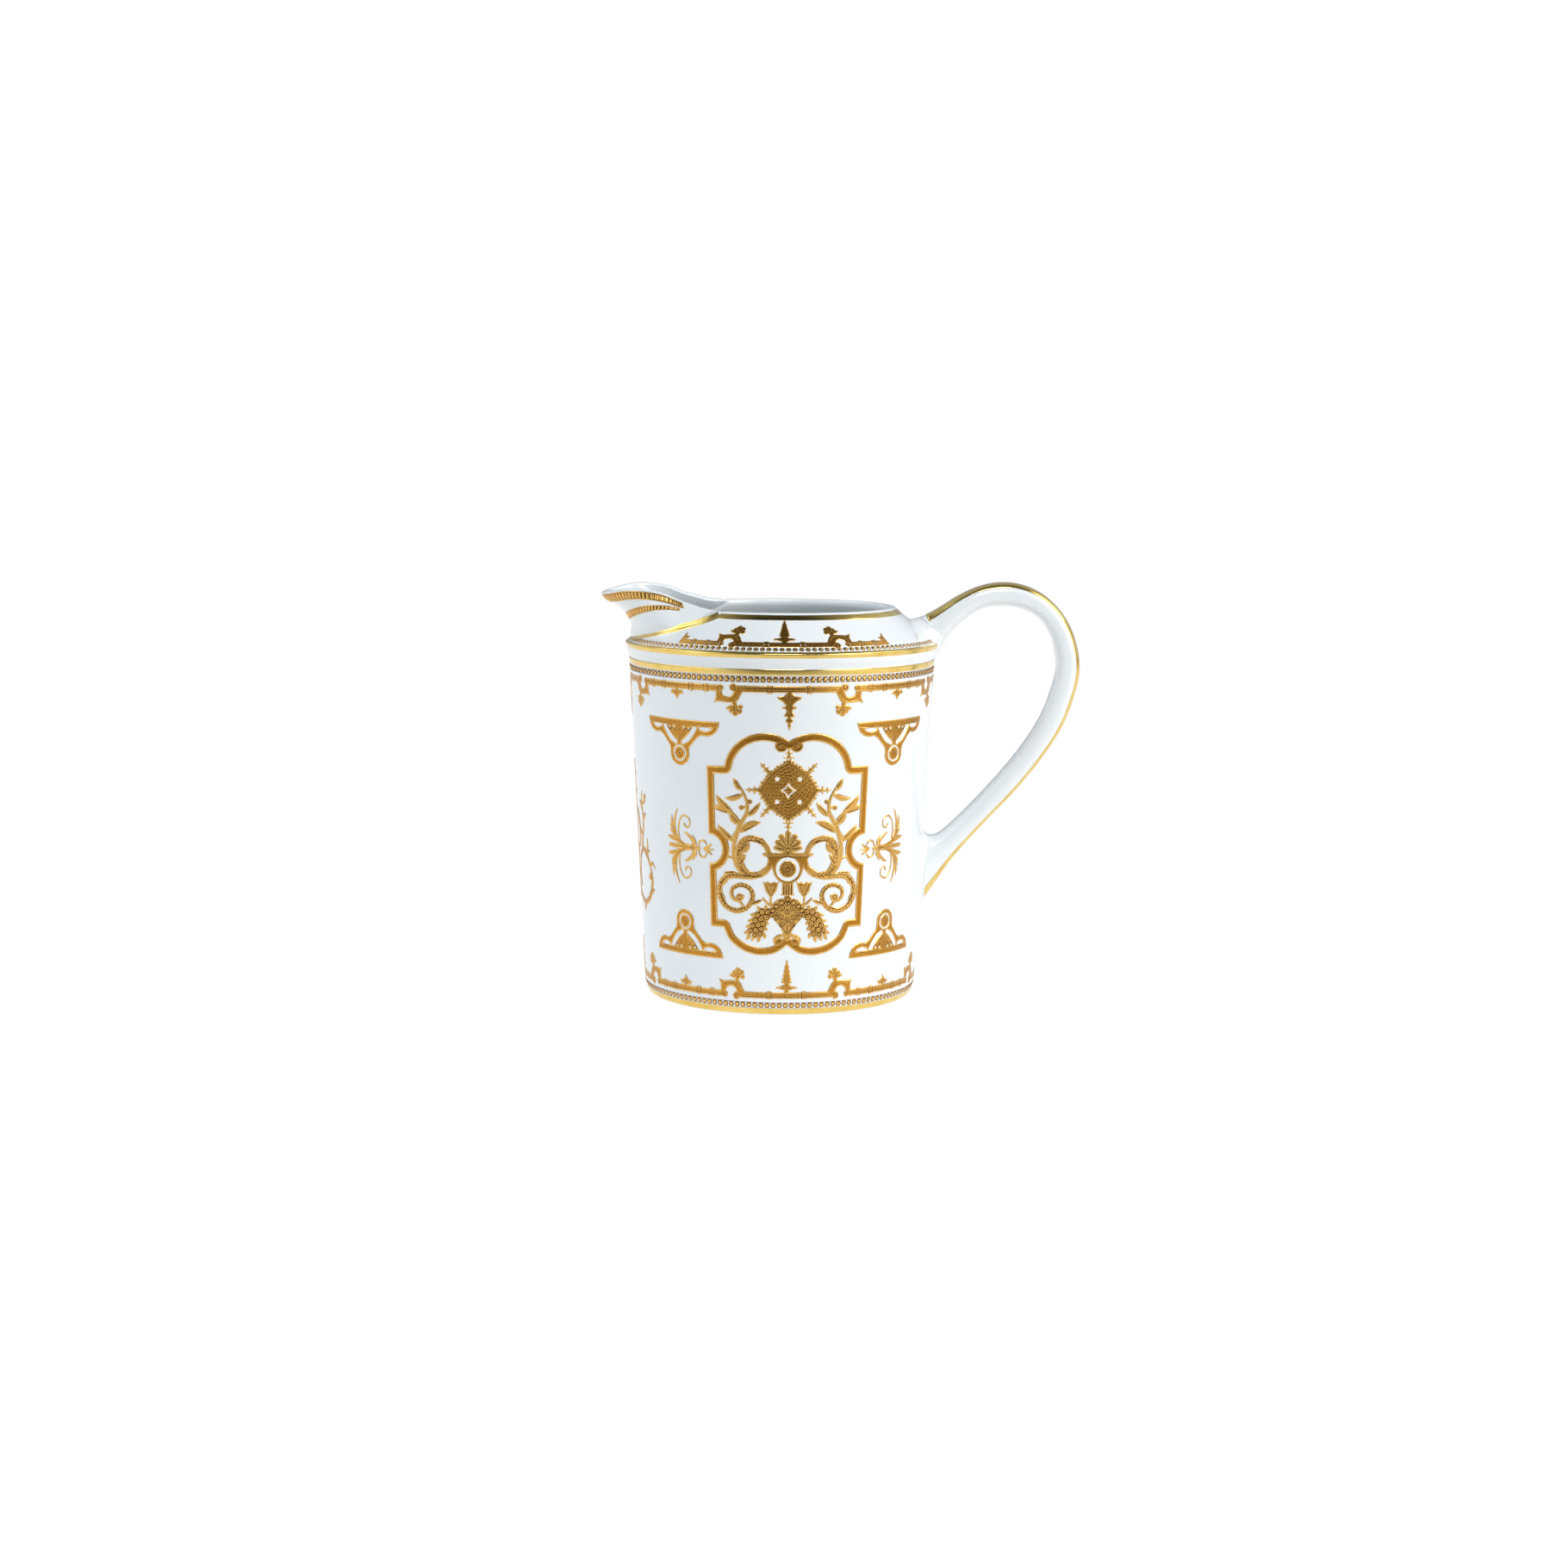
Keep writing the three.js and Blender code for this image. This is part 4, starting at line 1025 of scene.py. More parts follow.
for a, b, w, bow in (
    ((-11.2, 54.0), (-12.8, 56.7), 0.5, 0.06), ((-10.6, 53.2), (-15.1, 52.0), 0.5, 0.12), ((-13.2, 48.6), (-17.3, 52.5), 0.72, 0.08),
    ((-13.6, 48.4), (-18.0, 49.4), 0.52, -0.08), ((-9.6, 47.9), (-6.6, 51.2), 0.5, -0.06), ((-11.6, 46.0), (-13.9, 48.5), 0.62, 0.1),
    ((-11.5, 43.9), (-6.4, 46.5), 0.72, 0.1), ((-13.0, 41.8), (-17.0, 45.5), 0.62, 0.06), ((-9.0, 27.0), (-6.0, 28.1), 0.32, -0.05),
    ((-11.6, 39.3), (-9.3, 41.7), 0.62, -0.15), ((-11.7, 36.0), (-10.0, 38.6), 0.62, 0.12), ((-11.4, 40.5), (-12.0, 38.0), 0.8, 0.0),
    ((-12.6, 34.4), (-15.6, 34.2), 0.55, 0.15), ((-14.8, 33.4), (-16.9, 31.2), 0.55, 0.1), ((-8.2, 42.6), (-5.0, 41.2), 0.5, 0.1),
    ((-12.6, 25.4), (-9.6, 26.4), 0.5, -0.1), ((-16.6, 29.6), (-15.3, 26.5), 0.5, -0.05),
):
    orn.add(orn.leaf(a, b, w * 1.15 + 0.06, bow))
    pa, pb = np.array(a), np.array(b)
    orn.painted_shade_groove(orn.stroke([tuple(pa + (pb - pa) * 0.22), tuple(pa + (pb - pa) * 0.8)], [0.10, 0.05]), -0.04)
orn.add(orn.disc(-9.05, 51.3, 0.6), orn.disc(-11.05, 49.85, 0.6), orn.disc(-5.6, 38.9, 0.42), orn.disc(-11.7, 28.5, 0.85))
orn.painted_shade_groove(orn.ring(-11.7, 28.5, 0.5, 0.14), -0.04)


def barbs(a, pts, every, reach, lean, side, w=0.055):
    """short engraved cuts along a stem, leaning with its run, as on an acanthus scroll; each cut is painted dark,
    painted shade
    """
    p = curve(pts, 12)
    s = np.concatenate([[0], np.cumsum(np.hypot(*np.diff(p, axis=0).T))])
    for k in np.arange(every * 0.5, s[-1], every):
        x, z = np.interp(k, s, p[:, 0]), np.interp(k, s, p[:, 1])
        x2, z2 = np.interp(k + 0.05, s, p[:, 0]), np.interp(k + 0.05, s, p[:, 1])
        dx, dz = x2 - x, z2 - z
        L = math.hypot(dx, dz)
        if L < 1e-9:
            continue
        dx, dz = dx / L, dz / L
        for sd in ((side,) if side else (1, -1)):
            ex, ez = x + dx * lean - dz * sd * reach, z + dz * lean + dx * sd * reach
            a.painted_shade_groove(a.stroke([(x - dz * sd * 0.1, z + dx * sd * 0.1), (ex, ez)], [w, w * 0.7]), -0.05)


barbs(orn, [(-6.6, 34.2), (-8.3, 33.9), (-10.1, 34.5), (-11.3, 36.2), (-11.7, 38.4), (-11.5, 40.5), (-10.4, 42.1), (-8.6, 42.6), (-6.6, 42.1)], 0.95, 0.50, 0.55, 0)
barbs(orn, [(-9.6, 33.5), (-12.0, 33.6), (-14.2, 33.4), (-15.9, 32.3), (-16.75, 30.4), (-16.5, 28.0), (-15.1, 26.1), (-12.6, 25.2), (-10.3, 25.8), (-8.8, 27.4), (-8.45, 29.4), (-9.6, 31.0), (-11.6, 31.4), (-13.3, 30.5)], 0.95, 0.42, 0.5, 0)
orn.painted_shade_groove(orn.ring(-9.05, 51.3, 0.3, 0.1), -0.03)
orn.painted_shade_groove(orn.ring(-11.05, 49.85, 0.3, 0.1), -0.03)
# contour grooves down the middle of the loop and the scroll, painted dark as painted shade
orn.painted_shade_groove(orn.line([(-6.4, 41.6), (-8.6, 42.2), (-10.2, 41.5), (-11.0, 40.2)], 0.05), -0.05)
orn.painted_shade_groove(orn.line([(-11.3, 35.6), (-9.9, 34.2), (-8.2, 33.6), (-6.2, 34.0)], 0.07), -0.05)
orn.painted_shade_groove(orn.line([(-9.0, 33.7), (-12.0, 33.8), (-14.4, 33.5), (-16.1, 31.9), (-16.6, 29.6), (-16.0, 27.6), (-14.4, 25.9), (-12.4, 25.3)], 0.06), -0.05)
orn.painted_shade_groove(orn.line([(-8.7, 28.0), (-8.6, 29.6), (-9.8, 30.9), (-11.6, 31.2), (-13.2, 30.4), (-13.5, 29.0)], 0.06), -0.05)
# bar, block, roundel and fluted foot
orn.add(orn.box(-5.3, 5.3, 38.4, 39.35), orn.poly([(-4.4, 38.6), (4.4, 38.6), (3.9, 36.0), (3.2, 34.0), (-3.2, 34.0), (-3.9, 36.0)]), orn.disc(0, 35.45, 3.5))
# the bar's ribs: a pale ridge beside each dark groove, painted highlight and painted shade
for k in range(9):
    orn.painted_highlight_ridge(orn.stroke([(-5.2 + k * 0.62, 38.5), (-4.75 + k * 0.62, 39.25)], [0.09, 0.09]), 0.03)
    orn.painted_shade_groove(orn.stroke([(-4.9 + k * 0.62, 38.5), (-4.45 + k * 0.62, 39.25)], [0.06, 0.06]), -0.04)
orn.painted_shade_groove(orn.box(-5.2, 5.2, 38.28, 38.42), -0.04)
orn.cut(orn.ring(0, 35.45, 2.42, 0.86))
petals = 1.72 + 0.2 * np.abs(np.sin(8 * np.arctan2(orn.Z - 35.45, orn.X)))
orn.add(petals - np.hypot(orn.X, orn.Z - 35.45))
for k in range(9):
    t = math.radians(90 + k * 22.5)
    orn.painted_shade_groove(orn.stroke([(0.45 * math.cos(t), 35.45 + 0.45 * math.sin(t)), (1.7 * math.cos(t), 35.45 + 1.7 * math.sin(t))], [0.05, 0.10]), -0.04)
orn.painted_shade_groove(orn.ring(0, 35.45, 0.5, 0.12), -0.04)
orn.painted_shade_groove(orn.ring(0, 35.45, 3.12, 0.08), -0.03)
orn.add(orn.poly([(-1.35, 32.6), (1.35, 32.6), (1.3, 29.8), (1.6, 29.2), (-1.6, 29.2), (-1.3, 29.8)]))
# the foot's flutes: a dark groove with a pale ridge beside it, painted shade and painted highlight
for k in (-0.9, -0.3):
    orn.painted_shade_groove(orn.stroke([(k, 32.0), (k, 29.5)], [0.1, 0.1]), -0.06)
    orn.painted_highlight_ridge(orn.stroke([(k - 0.3, 32.0), (k - 0.3, 29.5)], [0.09, 0.09]), 0.02)
# fan
for ang, ln in ((172, 3.1), (146, 3.55), (118, 4.0), (90, 4.45)):
    t = math.radians(ang)
    c, s = math.cos(t), math.sin(t)
    orn.add(orn.stroke([(0.3 * c, 40.2 + 0.3 * s), ((ln - 0.7) * c, 40.2 + (ln - 0.7) * s)], [0.3, 0.72]))
    orn.painted_shade_groove(orn.stroke([(0.8 * c, 40.2 + 0.8 * s), ((ln - 0.5) * c, 40.2 + (ln - 0.5) * s)], [0.05, 0.09]), -0.04)
for ang in (104, 132, 160):
    t = math.radians(ang)
    c, s = math.cos(t), math.sin(t)
    orn.painted_highlight_ridge(orn.stroke([(0.8 * c, 40.2 + 0.8 * s), (3.3 * c, 40.2 + 3.3 * s)], [0.05, 0.11]), 0.03)
orn.add(orn.disc(0, 40.0, 0.7), orn.stroke([(-2.9, 40.5), (-0.6, 39.6)], [0.5, 0.4]))
orn.painted_shade_groove(orn.ring(0, 40.05, 0.55, 0.12), -0.05)
# tulips
orn.add(orn.poly([(-5.95, 32.5), (-5.4, 32.15), (-4.75, 32.45), (-4.0, 32.0), (-3.25, 32.45), (-2.6, 32.15), (-2.05, 32.5), (-2.7, 30.2), (-3.55, 29.0), (-4.45, 29.0), (-5.3, 30.2)]))
orn.painted_shade_groove(orn.line([(-5.2, 31.9), (-4.7, 30.6), (-4.15, 29.3)], 0.07), -0.05)
orn.painted_shade_groove(orn.line([(-2.8, 31.9), (-3.3, 30.6), (-3.85, 29.3)], 0.07), -0.05)
orn.painted_shade_groove(orn.stroke([(-4.0, 31.7), (-4.0, 30.2)], [0.08, 0.05]), -0.05)
orn.add(orn.line([(-4.0, 29.3), (-4.05, 27.8), (-3.9, 25.9)], 0.26))
orn.add(orn.leaf((-4.0, 26.6), (-6.0, 28.7), 0.26, 0.05), orn.leaf((-3.9, 26.6), (-2.3, 28.2), 0.24, -0.05))
# basket of flowers and its festoons
orn.add(orn.poly([(0.0, 28.75), (-0.8, 28.3), (-1.3, 27.6), (-2.3, 26.9), (-3.3, 25.9), (-3.9, 25.1), (-3.6, 23.9), (-2.8, 22.8), (-1.9, 21.9), (-1.3, 20.9), (-1.0, 20.0), (-0.9, 18.9), (-0.3, 18.2),
                  (0.3, 18.2), (0.9, 18.9), (1.0, 20.0), (1.3, 20.9), (1.9, 21.9), (2.8, 22.8), (3.6, 23.9), (3.9, 25.1), (3.3, 25.9), (2.3, 26.9), (1.3, 27.6), (0.8, 28.3)]))
orn.add(orn.line([(-0.4, 19.6), (-1.6, 19.5), (-2.9, 18.9), (-3.1, 18.1)], [0.42, 0.42, 0.36, 0.3]))
blooms = [(-4.7, 25.2, 0.95), (-6.1, 25.2, 0.95), (-7.2, 24.4, 0.9), (-5.1, 24.0, 0.95), (-6.4, 23.6, 0.95), (-7.8, 23.1, 0.9), (-5.9, 22.4, 0.9), (-7.1, 22.1, 0.95), (-8.4, 21.8, 0.8),
          (-6.3, 21.1, 0.85), (-7.7, 20.8, 0.9), (-9.0, 20.6, 0.75), (-6.5, 19.9, 0.75), (-7.9, 19.7, 0.7), (-9.3, 19.7, 0.5), (-7.1, 19.1, 0.5), (-4.1, 24.6, 0.8)]
for i, (x, z, r) in enumerate(blooms):
    orn.add(orn.disc(x, z, r))
    if r > 0.6:
        orn.painted_shade_groove(orn.ring(x, z, r * 0.70, 0.14), -0.04)
        orn.painted_shade_groove(orn.disc(x, z, 0.15), -0.03)
for a_, b_ in (((-7.6, 24.6), (-9.0, 24.4)), ((-8.0, 23.4), (-9.7, 22.9)), ((-8.6, 22.0), (-10.2, 21.5)), ((-9.2, 20.8), (-10.6, 19.9)), ((-9.2, 19.8), (-10.0, 18.4)), ((-8.0, 19.8), (-8.7, 18.2)),
               ((-6.9, 19.4), (-7.2, 17.9)), ((-6.0, 20.2), (-5.4, 18.8)), ((-5.9, 21.6), (-4.9, 20.7)), ((-5.6, 22.8), (-4.6, 22.2)), ((-6.4, 25.4), (-7.2, 26.5)), ((-5.0, 25.6), (-5.2, 26.8))):
    orn.add(orn.leaf(a_, b_, 0.42, 0.08))
for x, z, r in ((0.0, 28.3, 0.95), (-1.45, 27.5, 0.95), (-2.7, 26.6, 0.9), (-3.5, 25.6, 0.85)):
    orn.add(orn.disc(x, z, r))
    orn.painted_shade_groove(orn.ring(x, z, r * 0.62, 0.17), -0.06)
for x, z in ((0.0, 27.5), (-1.3, 26.3), (0.0, 25.4), (-2.5, 25.1), (-1.5, 24.0), (0.0, 23.4), (-2.9, 23.9), (-1.3, 22.3)):
    orn.painted_shade_groove(orn.ring(x, z, 0.60, 0.14), -0.04)
    orn.painted_shade_groove(orn.disc(x, z, 0.18), -0.05)
orn.painted_shade_groove(orn.line([(-1.9, 22.4), (-1.0, 21.2), (-0.2, 20.2)], 0.07), -0.05)
orn.painted_shade_groove(orn.line([(0.0, 22.2), (0.0, 20.4)], 0.06), -0.05)
orn.painted_highlight_ridge(orn.line([(-1.3, 19.2), (-0.4, 18.8), (0.0, 18.3)], 0.14), 0.02)
orn.grow = 0.10
tone_map = np.where(rho < 1.02, 0.66, 0.37)
tone_map = np.where((np.abs(orn.X) < 4.6) & (orn.Z > 31.5) & (orn.Z < 39.6), 0.66, tone_map)
tone_map = np.where(orn.Z > 60.2, 0.80, tone_map)
orn_surface = orn.surface(tone_map)
for side, az in (("front", ORN_AZ), ("back", 180 + ORN_AZ)):
    lay(side + "_cartouche_frame", frame_surface, [az])
    lay(side + "_cartouche_ornament", orn_surface, [az])

# -- corner brackets, centred on their own axis
br = Art(-11.8, 11.8, 57.9, 70.2, 0.12, True)
br.add(br.poly([(-11.2, 69.75), (-11.0, 68.6), (-10.4, 67.4), (-9.4, 66.55), (-8.0, 66.15), (-6.4, 66.35), (-5.2, 65.6), (-4.0, 64.3), (-3.1, 63.3), (-2.9, 62.4), (-2.95, 61.1), (-2.4, 59.9), (-1.3, 59.1), (0, 58.8),
                (1.3, 59.1), (2.4, 59.9), (2.95, 61.1), (2.9, 62.4), (3.1, 63.3), (4.0, 64.3), (5.2, 65.6), (6.4, 66.35), (8.0, 66.15), (9.4, 66.55), (10.4, 67.4), (11.0, 68.6), (11.2, 69.75)]))
br.cut(br.poly([(-9.3, 68.1), (-8.6, 67.6), (-7.4, 67.3), (-6.2, 67.55), (-5.6, 68.1), (-7.2, 68.35)]))
br.cut(br.poly([(-5.3, 68.25), (-4.2, 68.25), (-3.2, 66.8), (-2.0, 65.6), (-0.7, 64.6), (-0.7, 63.9), (-1.6, 64.1), (-2.8, 64.7), (-3.9, 65.9), (-4.8, 67.2)]))
br.cut(br.ring(0, 61.75, 1.72, 0.34))
br.add(br.disc(0, 61.75, 1.1))
br.painted_shade_groove(br.ring(0, 61.75, 0.75, 0.16), -0.05)
br.painted_shade_groove(br.disc(0, 61.75, 0.25), -0.05)
br.painted_shade_groove(br.box(-10.6, 10.6, 68.55, 68.68), -0.05)
br.painted_shade_groove(br.line([(-3.6, 67.9), (-2.9, 67.2), (-2.2, 67.8), (-1.4, 67.1), (-0.7, 67.9), (0, 67.3)], 0.09), -0.06)
for x in (-2.3, -1.15, 0.0):
    br.painted_shade_groove(br.line([(x, 67.1), (x * 0.6, 66.0), (x * 0.2, 64.9)], 0.06), -0.05)
br.cut(br.disc(-1.5, 67.95, 0.22), br.disc(-3.0, 67.75, 0.24))
br.grow = 0.08
br_surface = br.surface(0.66)
low_surface = flipped(br_surface, 41.55)

# -- palmettes; the bud points to the cartouche (towards -x here)
pal = Art(-8.0, 8.0, 29.8, 49.0, 0.12, False)
MID = 39.4
for sgn in (1, -1):
    up = lambda pts: [(x, MID + sgn * (z - MID)) for x, z in pts]
    for pts, w in (
        ([(-1.2, 39.6), (1.6, 40.0), (3.6, 41.6), (4.3, 44.2), (3.8, 46.6), (3.1, 48.2)], [0.42, 0.5, 0.5, 0.42, 0.3, 0.14]),
        ([(0.6, 39.7), (3.0, 40.6), (5.0, 41.2), (6.4, 41.4)], [0.35, 0.5, 0.55, 0.3]),
        ([(3.4, 41.4), (5.0, 42.8), (5.6, 44.4)], [0.4, 0.5, 0.15]), ([(4.0, 43.2), (5.0, 45.0), (5.1, 46.6)], [0.4, 0.42, 0.12]),
        ([(-1.9, 39.6), (-1.4, 41.2), (-0.2, 42.3), (0.8, 42.8)], [0.35, 0.4, 0.36, 0.2]), ([(-2.4, 39.7), (-2.3, 41.0), (-1.5, 42.3)], [0.25, 0.3, 0.16]),
        ([(2.6, 41.0), (2.9, 43.4), (2.4, 45.6), (1.0, 46.9), (-0.6, 46.2), (-0.7, 44.6), (0.4, 44.1), (0.9, 44.9)], [0.22, 0.22, 0.2, 0.2, 0.19, 0.18, 0.18, 0.26]),
        ([(-3.2, 39.7), (-3.6, 41.0), (-4.8, 41.4), (-5.5, 40.6)], [0.22, 0.22, 0.2, 0.2]),
        ([(-5.0, 39.6), (-6.0, 40.0), (-6.9, 40.6)], [0.25, 0.36, 0.14]),
    ):
        pal.add(pal.line(up(pts), w))
    pal.painted_shade_groove(pal.line(up([(0.8, 39.9), (2.6, 40.8), (4.0, 42.0), (4.6, 44.0)]), 0.06), -0.04)
pal.add(pal.line([(-3.6, MID), (1.5, MID), (5.2, MID)], [0.3, 0.55, 0.5]), pal.disc(5.9, MID, 0.5), pal.line([(-5.0, MID), (-7.4, MID)], [0.34, 0.12]), pal.disc(-1.5, MID, 0.7), pal.disc(-3.0, MID, 0.4))
pal.painted_shade_groove(pal.line([(-2.2, MID), (4.6, MID)], 0.07), -0.04)
pal.painted_shade_groove(pal.ring(-1.5, MID, 0.42, 0.1), -0.04)
pal.grow = 0.10
pal_surface = pal.surface(0.45)
for side, az in (("front", ORN_AZ), ("back", 180 + ORN_AZ)):
    for hand, sg in (("left", -1), ("right", 1)):
        lay("%s_upper_%s_bracket" % (side, hand), br_surface, [az + sg * 44.5])
        lay("%s_lower_%s_bracket" % (side, hand), low_surface, [az + sg * 44.5])
        lay("%s_%s_palmette" % (side, hand), pal_surface if sg > 0 else mirrored(pal_surface), [az + sg * 41.8])


# -- friezes: one quarter of the way round, drawn for the foot and turned over for the top
def frieze(half, tall, grow=0.09):
    a = Art(-half, half, 3.4, 14.6 if not tall else 15.2, 0.12, True)
    for c, m in ((-half / 2, 1.0), (-half * 1.5, -1.0)):
        X = lambda pts: [(c + m * x, z) for x, z in pts]
        arch = a.poly(X([(-3.15, 4.3), (-3.1, 7.4), (-3.35, 7.9), (-3.6, 8.6), (-2.9, 8.25), (-2.3, 8.15), (-0.8, 8.35), (0.7, 8.4), (1.7, 8.25), (2.3, 7.7), (2.8, 6.7), (3.25, 5.85), (3.6, 5.5), (3.6, 4.3)]))
        hole = np.maximum(a.disc(c + m * -0.25, 5.55, 1.45), a.poly(X([(-1.75, 5.6), (-1.75, 3.0), (1.0, 3.0), (1.2, 5.6)])))
        a.add(np.minimum(arch, -hole))
        a.add(a.disc(c + m * -2.0, 4.95, 0.80), a.disc(c + m * 1.15, 4.75, 0.95))
        a.painted_shade_groove(a.ring(c + m * 1.15, 4.75, 0.52, 0.17), -0.05)
        a.painted_shade_groove(a.ring(c + m * -2.0, 4.95, 0.42, 0.14), -0.05)
        a.add(a.stroke(X([(1.2, 8.0), (1.5, 9.3)]), [0.55, 0.5]), a.disc(c + m * 1.5, 9.7, 0.95), a.disc(c + m * 2.45, 10.35, 0.68), a.disc(c + m * 1.5, 10.85, 0.66),
              a.disc(c + m * 0.6, 10.2, 0.60), a.disc(c + m * 2.75, 9.3, 0.55), a.leaf(X([(1.3, 9.2)])[0], X([(-0.7, 9.75)])[0], 0.45))
        for p, q in (((1.5, 9.2), (2.5, 10.4)), ((1.4, 9.2), (1.5, 10.9)), ((1.3, 9.3), (0.6, 10.2))):
            a.painted_shade_groove(a.stroke(X([p, q]), [0.05, 0.06]), -0.04)
        a.painted_shade_groove(a.line(X([(-2.4, 5.4), (-2.4, 7.2), (-1.6, 7.7), (0.9, 7.85), (2.3, 6.3)]), 0.06), -0.05)
    lo, hi = 4.28, 5.82
    a.add(a.box(-half / 2 + 2.2, 1.0, lo, hi), a.box(-half * 1.5 + 1.9 if half * 1.5 < half else -half - 1, -half / 2 - 1.75, lo, hi))
    bars = (a.Q > -half / 2 + 2.4) | (a.Q < -half / 2 - 2.2)
    for z in (4.78, 5.32):
        a.painted_shade_groove(np.where(bars, 0.055 - np.abs(a.Z - z), -1.0), -0.05)
    for x in (-4.4, -half / 2 - 5.6, -half + 4.2):
        a.add(a.box(x - 0.5, x + 0.5, lo - 0.14, hi + 0.14), a.disc(x - 0.28, hi + 0.2, 0.16), a.disc(x + 0.3, hi + 0.2, 0.16))
        a.painted_shade_groove(a.stroke([(x - 0.55, lo), (x - 0.55, hi)], [0.06, 0.06]), -0.05)
        a.painted_shade_groove(a.stroke([(x + 0.55, lo), (x + 0.55, hi)], [0.06, 0.06]), -0.05)
    # bud between the two arches
    b = -half
    a.add(a.disc(b, 6.9, 0.85), a.disc(b + 1.15, 6.55, 0.55), a.stroke([(b, 7.2), (b, 8.3)], [0.6, 0.08]), a.stroke([(b, 5.6), (b, 6.6)], [0.5, 0.5]), a.disc(b + 1.75, 6.75, 0.25))
    a.painted_shade_groove(a.stroke([(b, 6.3), (b, 7.6)], [0.07, 0.04]), -0.05)
    a.painted_shade_groove(a.stroke([(b + 0.4, 6.2), (b + 0.8, 6.9)], [0.06, 0.04]), -0.05)
    # the tall finial in the middle
    prof = [(5.5, 0.35), (6.3, 0.45), (6.6, 1.2), (6.8, 1.95), (7.15, 2.0), (7.35, 1.1), (7.6, 0.6), (7.95, 0.55), (8.3, 1.1), (8.6, 0.8), (8.8, 0.7), (9.1, 1.0), (9.5, 0.62), (10.0, 0.8), (10.4, 0.5),
            (10.9, 0.66), (11.4, 0.4), (12.0, 0.45), (12.6, 0.25), (13.8, 0.03)]
    if tall:
        prof = [(5.5, 0.3), (6.0, 0.5), (6.6, 1.0), (6.8, 2.2), (7.3, 1.9), (7.9, 1.2), (8.5, 0.75), (8.9, 0.6), (9.1, 1.2), (9.45, 1.25), (9.7, 0.6), (10.2, 0.5), (10.8, 0.75), (11.35, 1.0), (11.5, 0.3),
                (11.8, 0.3), (12.1, 0.68), (12.6, 0.62), (13.0, 0.2), (13.4, 0.33), (14.6, 0.03)]
    pts = [(-w * 1.32, z) for z, w in prof] + [(w * 1.32, z) for z, w in prof[::-1]]
    q = a.Q
    a.Q = a.X
    a.add(a.poly(pts))
    a.Q = q
    a.painted_shade_groove(a.line([(-0.3, 6.2), (-0.35, 7.6), (-0.2, 9.0), (-0.15, 11.0)], 0.06), -0.04)
    a.painted_shade_groove(a.stroke([(-1.5, 6.9), (-0.7, 6.95)], [0.06, 0.06]), -0.04)
    a.grow = grow
    return a.surface(0.62)


HALF = 45 * DEG
foot_surface = frieze(HALF, False)
top_surface = flipped(frieze(HALF, True), 41.42)
lay("foot_strapwork", foot_surface, [ORN_AZ + 90 * k for k in range(4)])
lay("upper_strapwork", top_surface, [ORN_AZ + 90 * k for k in range(4)], hide=lambda P: in_handle(P[None], 0.3)[0])
# the shoulder's frieze is the foot's, drawn with a wider outline and scaled a little smaller
s, t_, q_, tn_ = frieze(HALF, False, 0.24)
s = s.copy()
s[:, 0] *= 0.5 * math.pi * 35.4 / (2 * HALF) * 0.965
s[:, 1] = 2.55 + (s[:, 1] - 4.35) * 0.95
shoulder_surface = (s, t_, q_, tn_)
for side, az in (("front", 1.0), ("back", 181.0)):
    lay(side + "_shoulder_strapwork", shoulder_surface, [az], place=to_shoulder,
        hide=lambda P: in_handle(P[None], 0.3)[0] | in_spout(P[:, 0], P[:, 1], 1.0))

# -- tall spray under the spout
sp = Art(-17.0, 17.0, 20.0, 58.0, 0.13, True)
for pts, w in (
    ([(0, 57.4), (0, 50.0), (0, 40.0), (0, 30.0), (0, 24.0)], [0.12, 0.4, 0.6, 0.8, 0.6]),
    ([(0, 44.0), (-3.0, 45.6), (-5.6, 43.0), (-6.0, 39.0), (-4.4, 36.4)], [0.4, 0.5, 0.5, 0.45, 0.3]),
    ([(0, 27.0), (-4.0, 24.4), (-9.0, 23.4), (-13.0, 25.6), (-14.6, 29.4), (-13.4, 33.4)], [0.6, 0.7, 0.75, 0.7, 0.6, 0.4]),
    ([(-13.4, 33.0), (-11.4, 35.4), (-8.6, 36.4), (-5.4, 34.2), (-4.0, 30.4), (-5.0, 27.0)], [0.5, 0.7, 0.7, 0.55, 0.45, 0.3]),
    ([(-13.6, 33.0), (-15.0, 33.6), (-16.4, 32.4)], [0.5, 0.5, 0.15]),
    ([(-11.6, 35.2), (-12.2, 37.4), (-12.2, 39.4)], [0.6, 0.5, 0.15]),
    ([(-8.0, 36.2), (-8.4, 38.6), (-9.6, 41.6), (-9.8, 44.6), (-9.0, 48.0), (-9.6, 50.6)], [0.7, 0.62, 0.5, 0.45, 0.34, 0.2]),
    ([(-9.2, 47.0), (-11.2, 48.4)], [0.3, 0.6]), ([(-8.4, 39.6), (-6.6, 41.4)], [0.4, 0.2]),
):
    sp.add(sp.line(pts, w))
for a_, b_, w_ in (((0, 52.0), (-2.6, 54.6), 0.5), ((0, 48.0), (-2.8, 50.4), 0.6), ((0, 33.0), (-3.0, 37.0), 0.8), ((-9.8, 43.6), (-12.0, 45.6), 0.5), ((-9.4, 46.0), (-7.4, 48.4), 0.5),
                   ((-13.0, 26.0), (-15.6, 27.4), 0.6), ((-9.0, 23.6), (-8.0, 21.2), 0.6), ((-10.8, 35.4), (-13.4, 36.6), 0.6)):
    sp.add(sp.leaf(a_, b_, w_))
    sp.painted_shade_groove(sp.stroke([a_, b_], [0.06, 0.04]), -0.04)
sp.add(sp.disc(-11.6, 49.4, 0.8), sp.disc(-13.4, 30.2, 0.9))
sp.painted_shade_groove(sp.line([(-3.0, 24.8), (-9.0, 23.5), (-12.8, 25.8), (-14.4, 29.4), (-13.2, 33.2)], 0.08), -0.05)
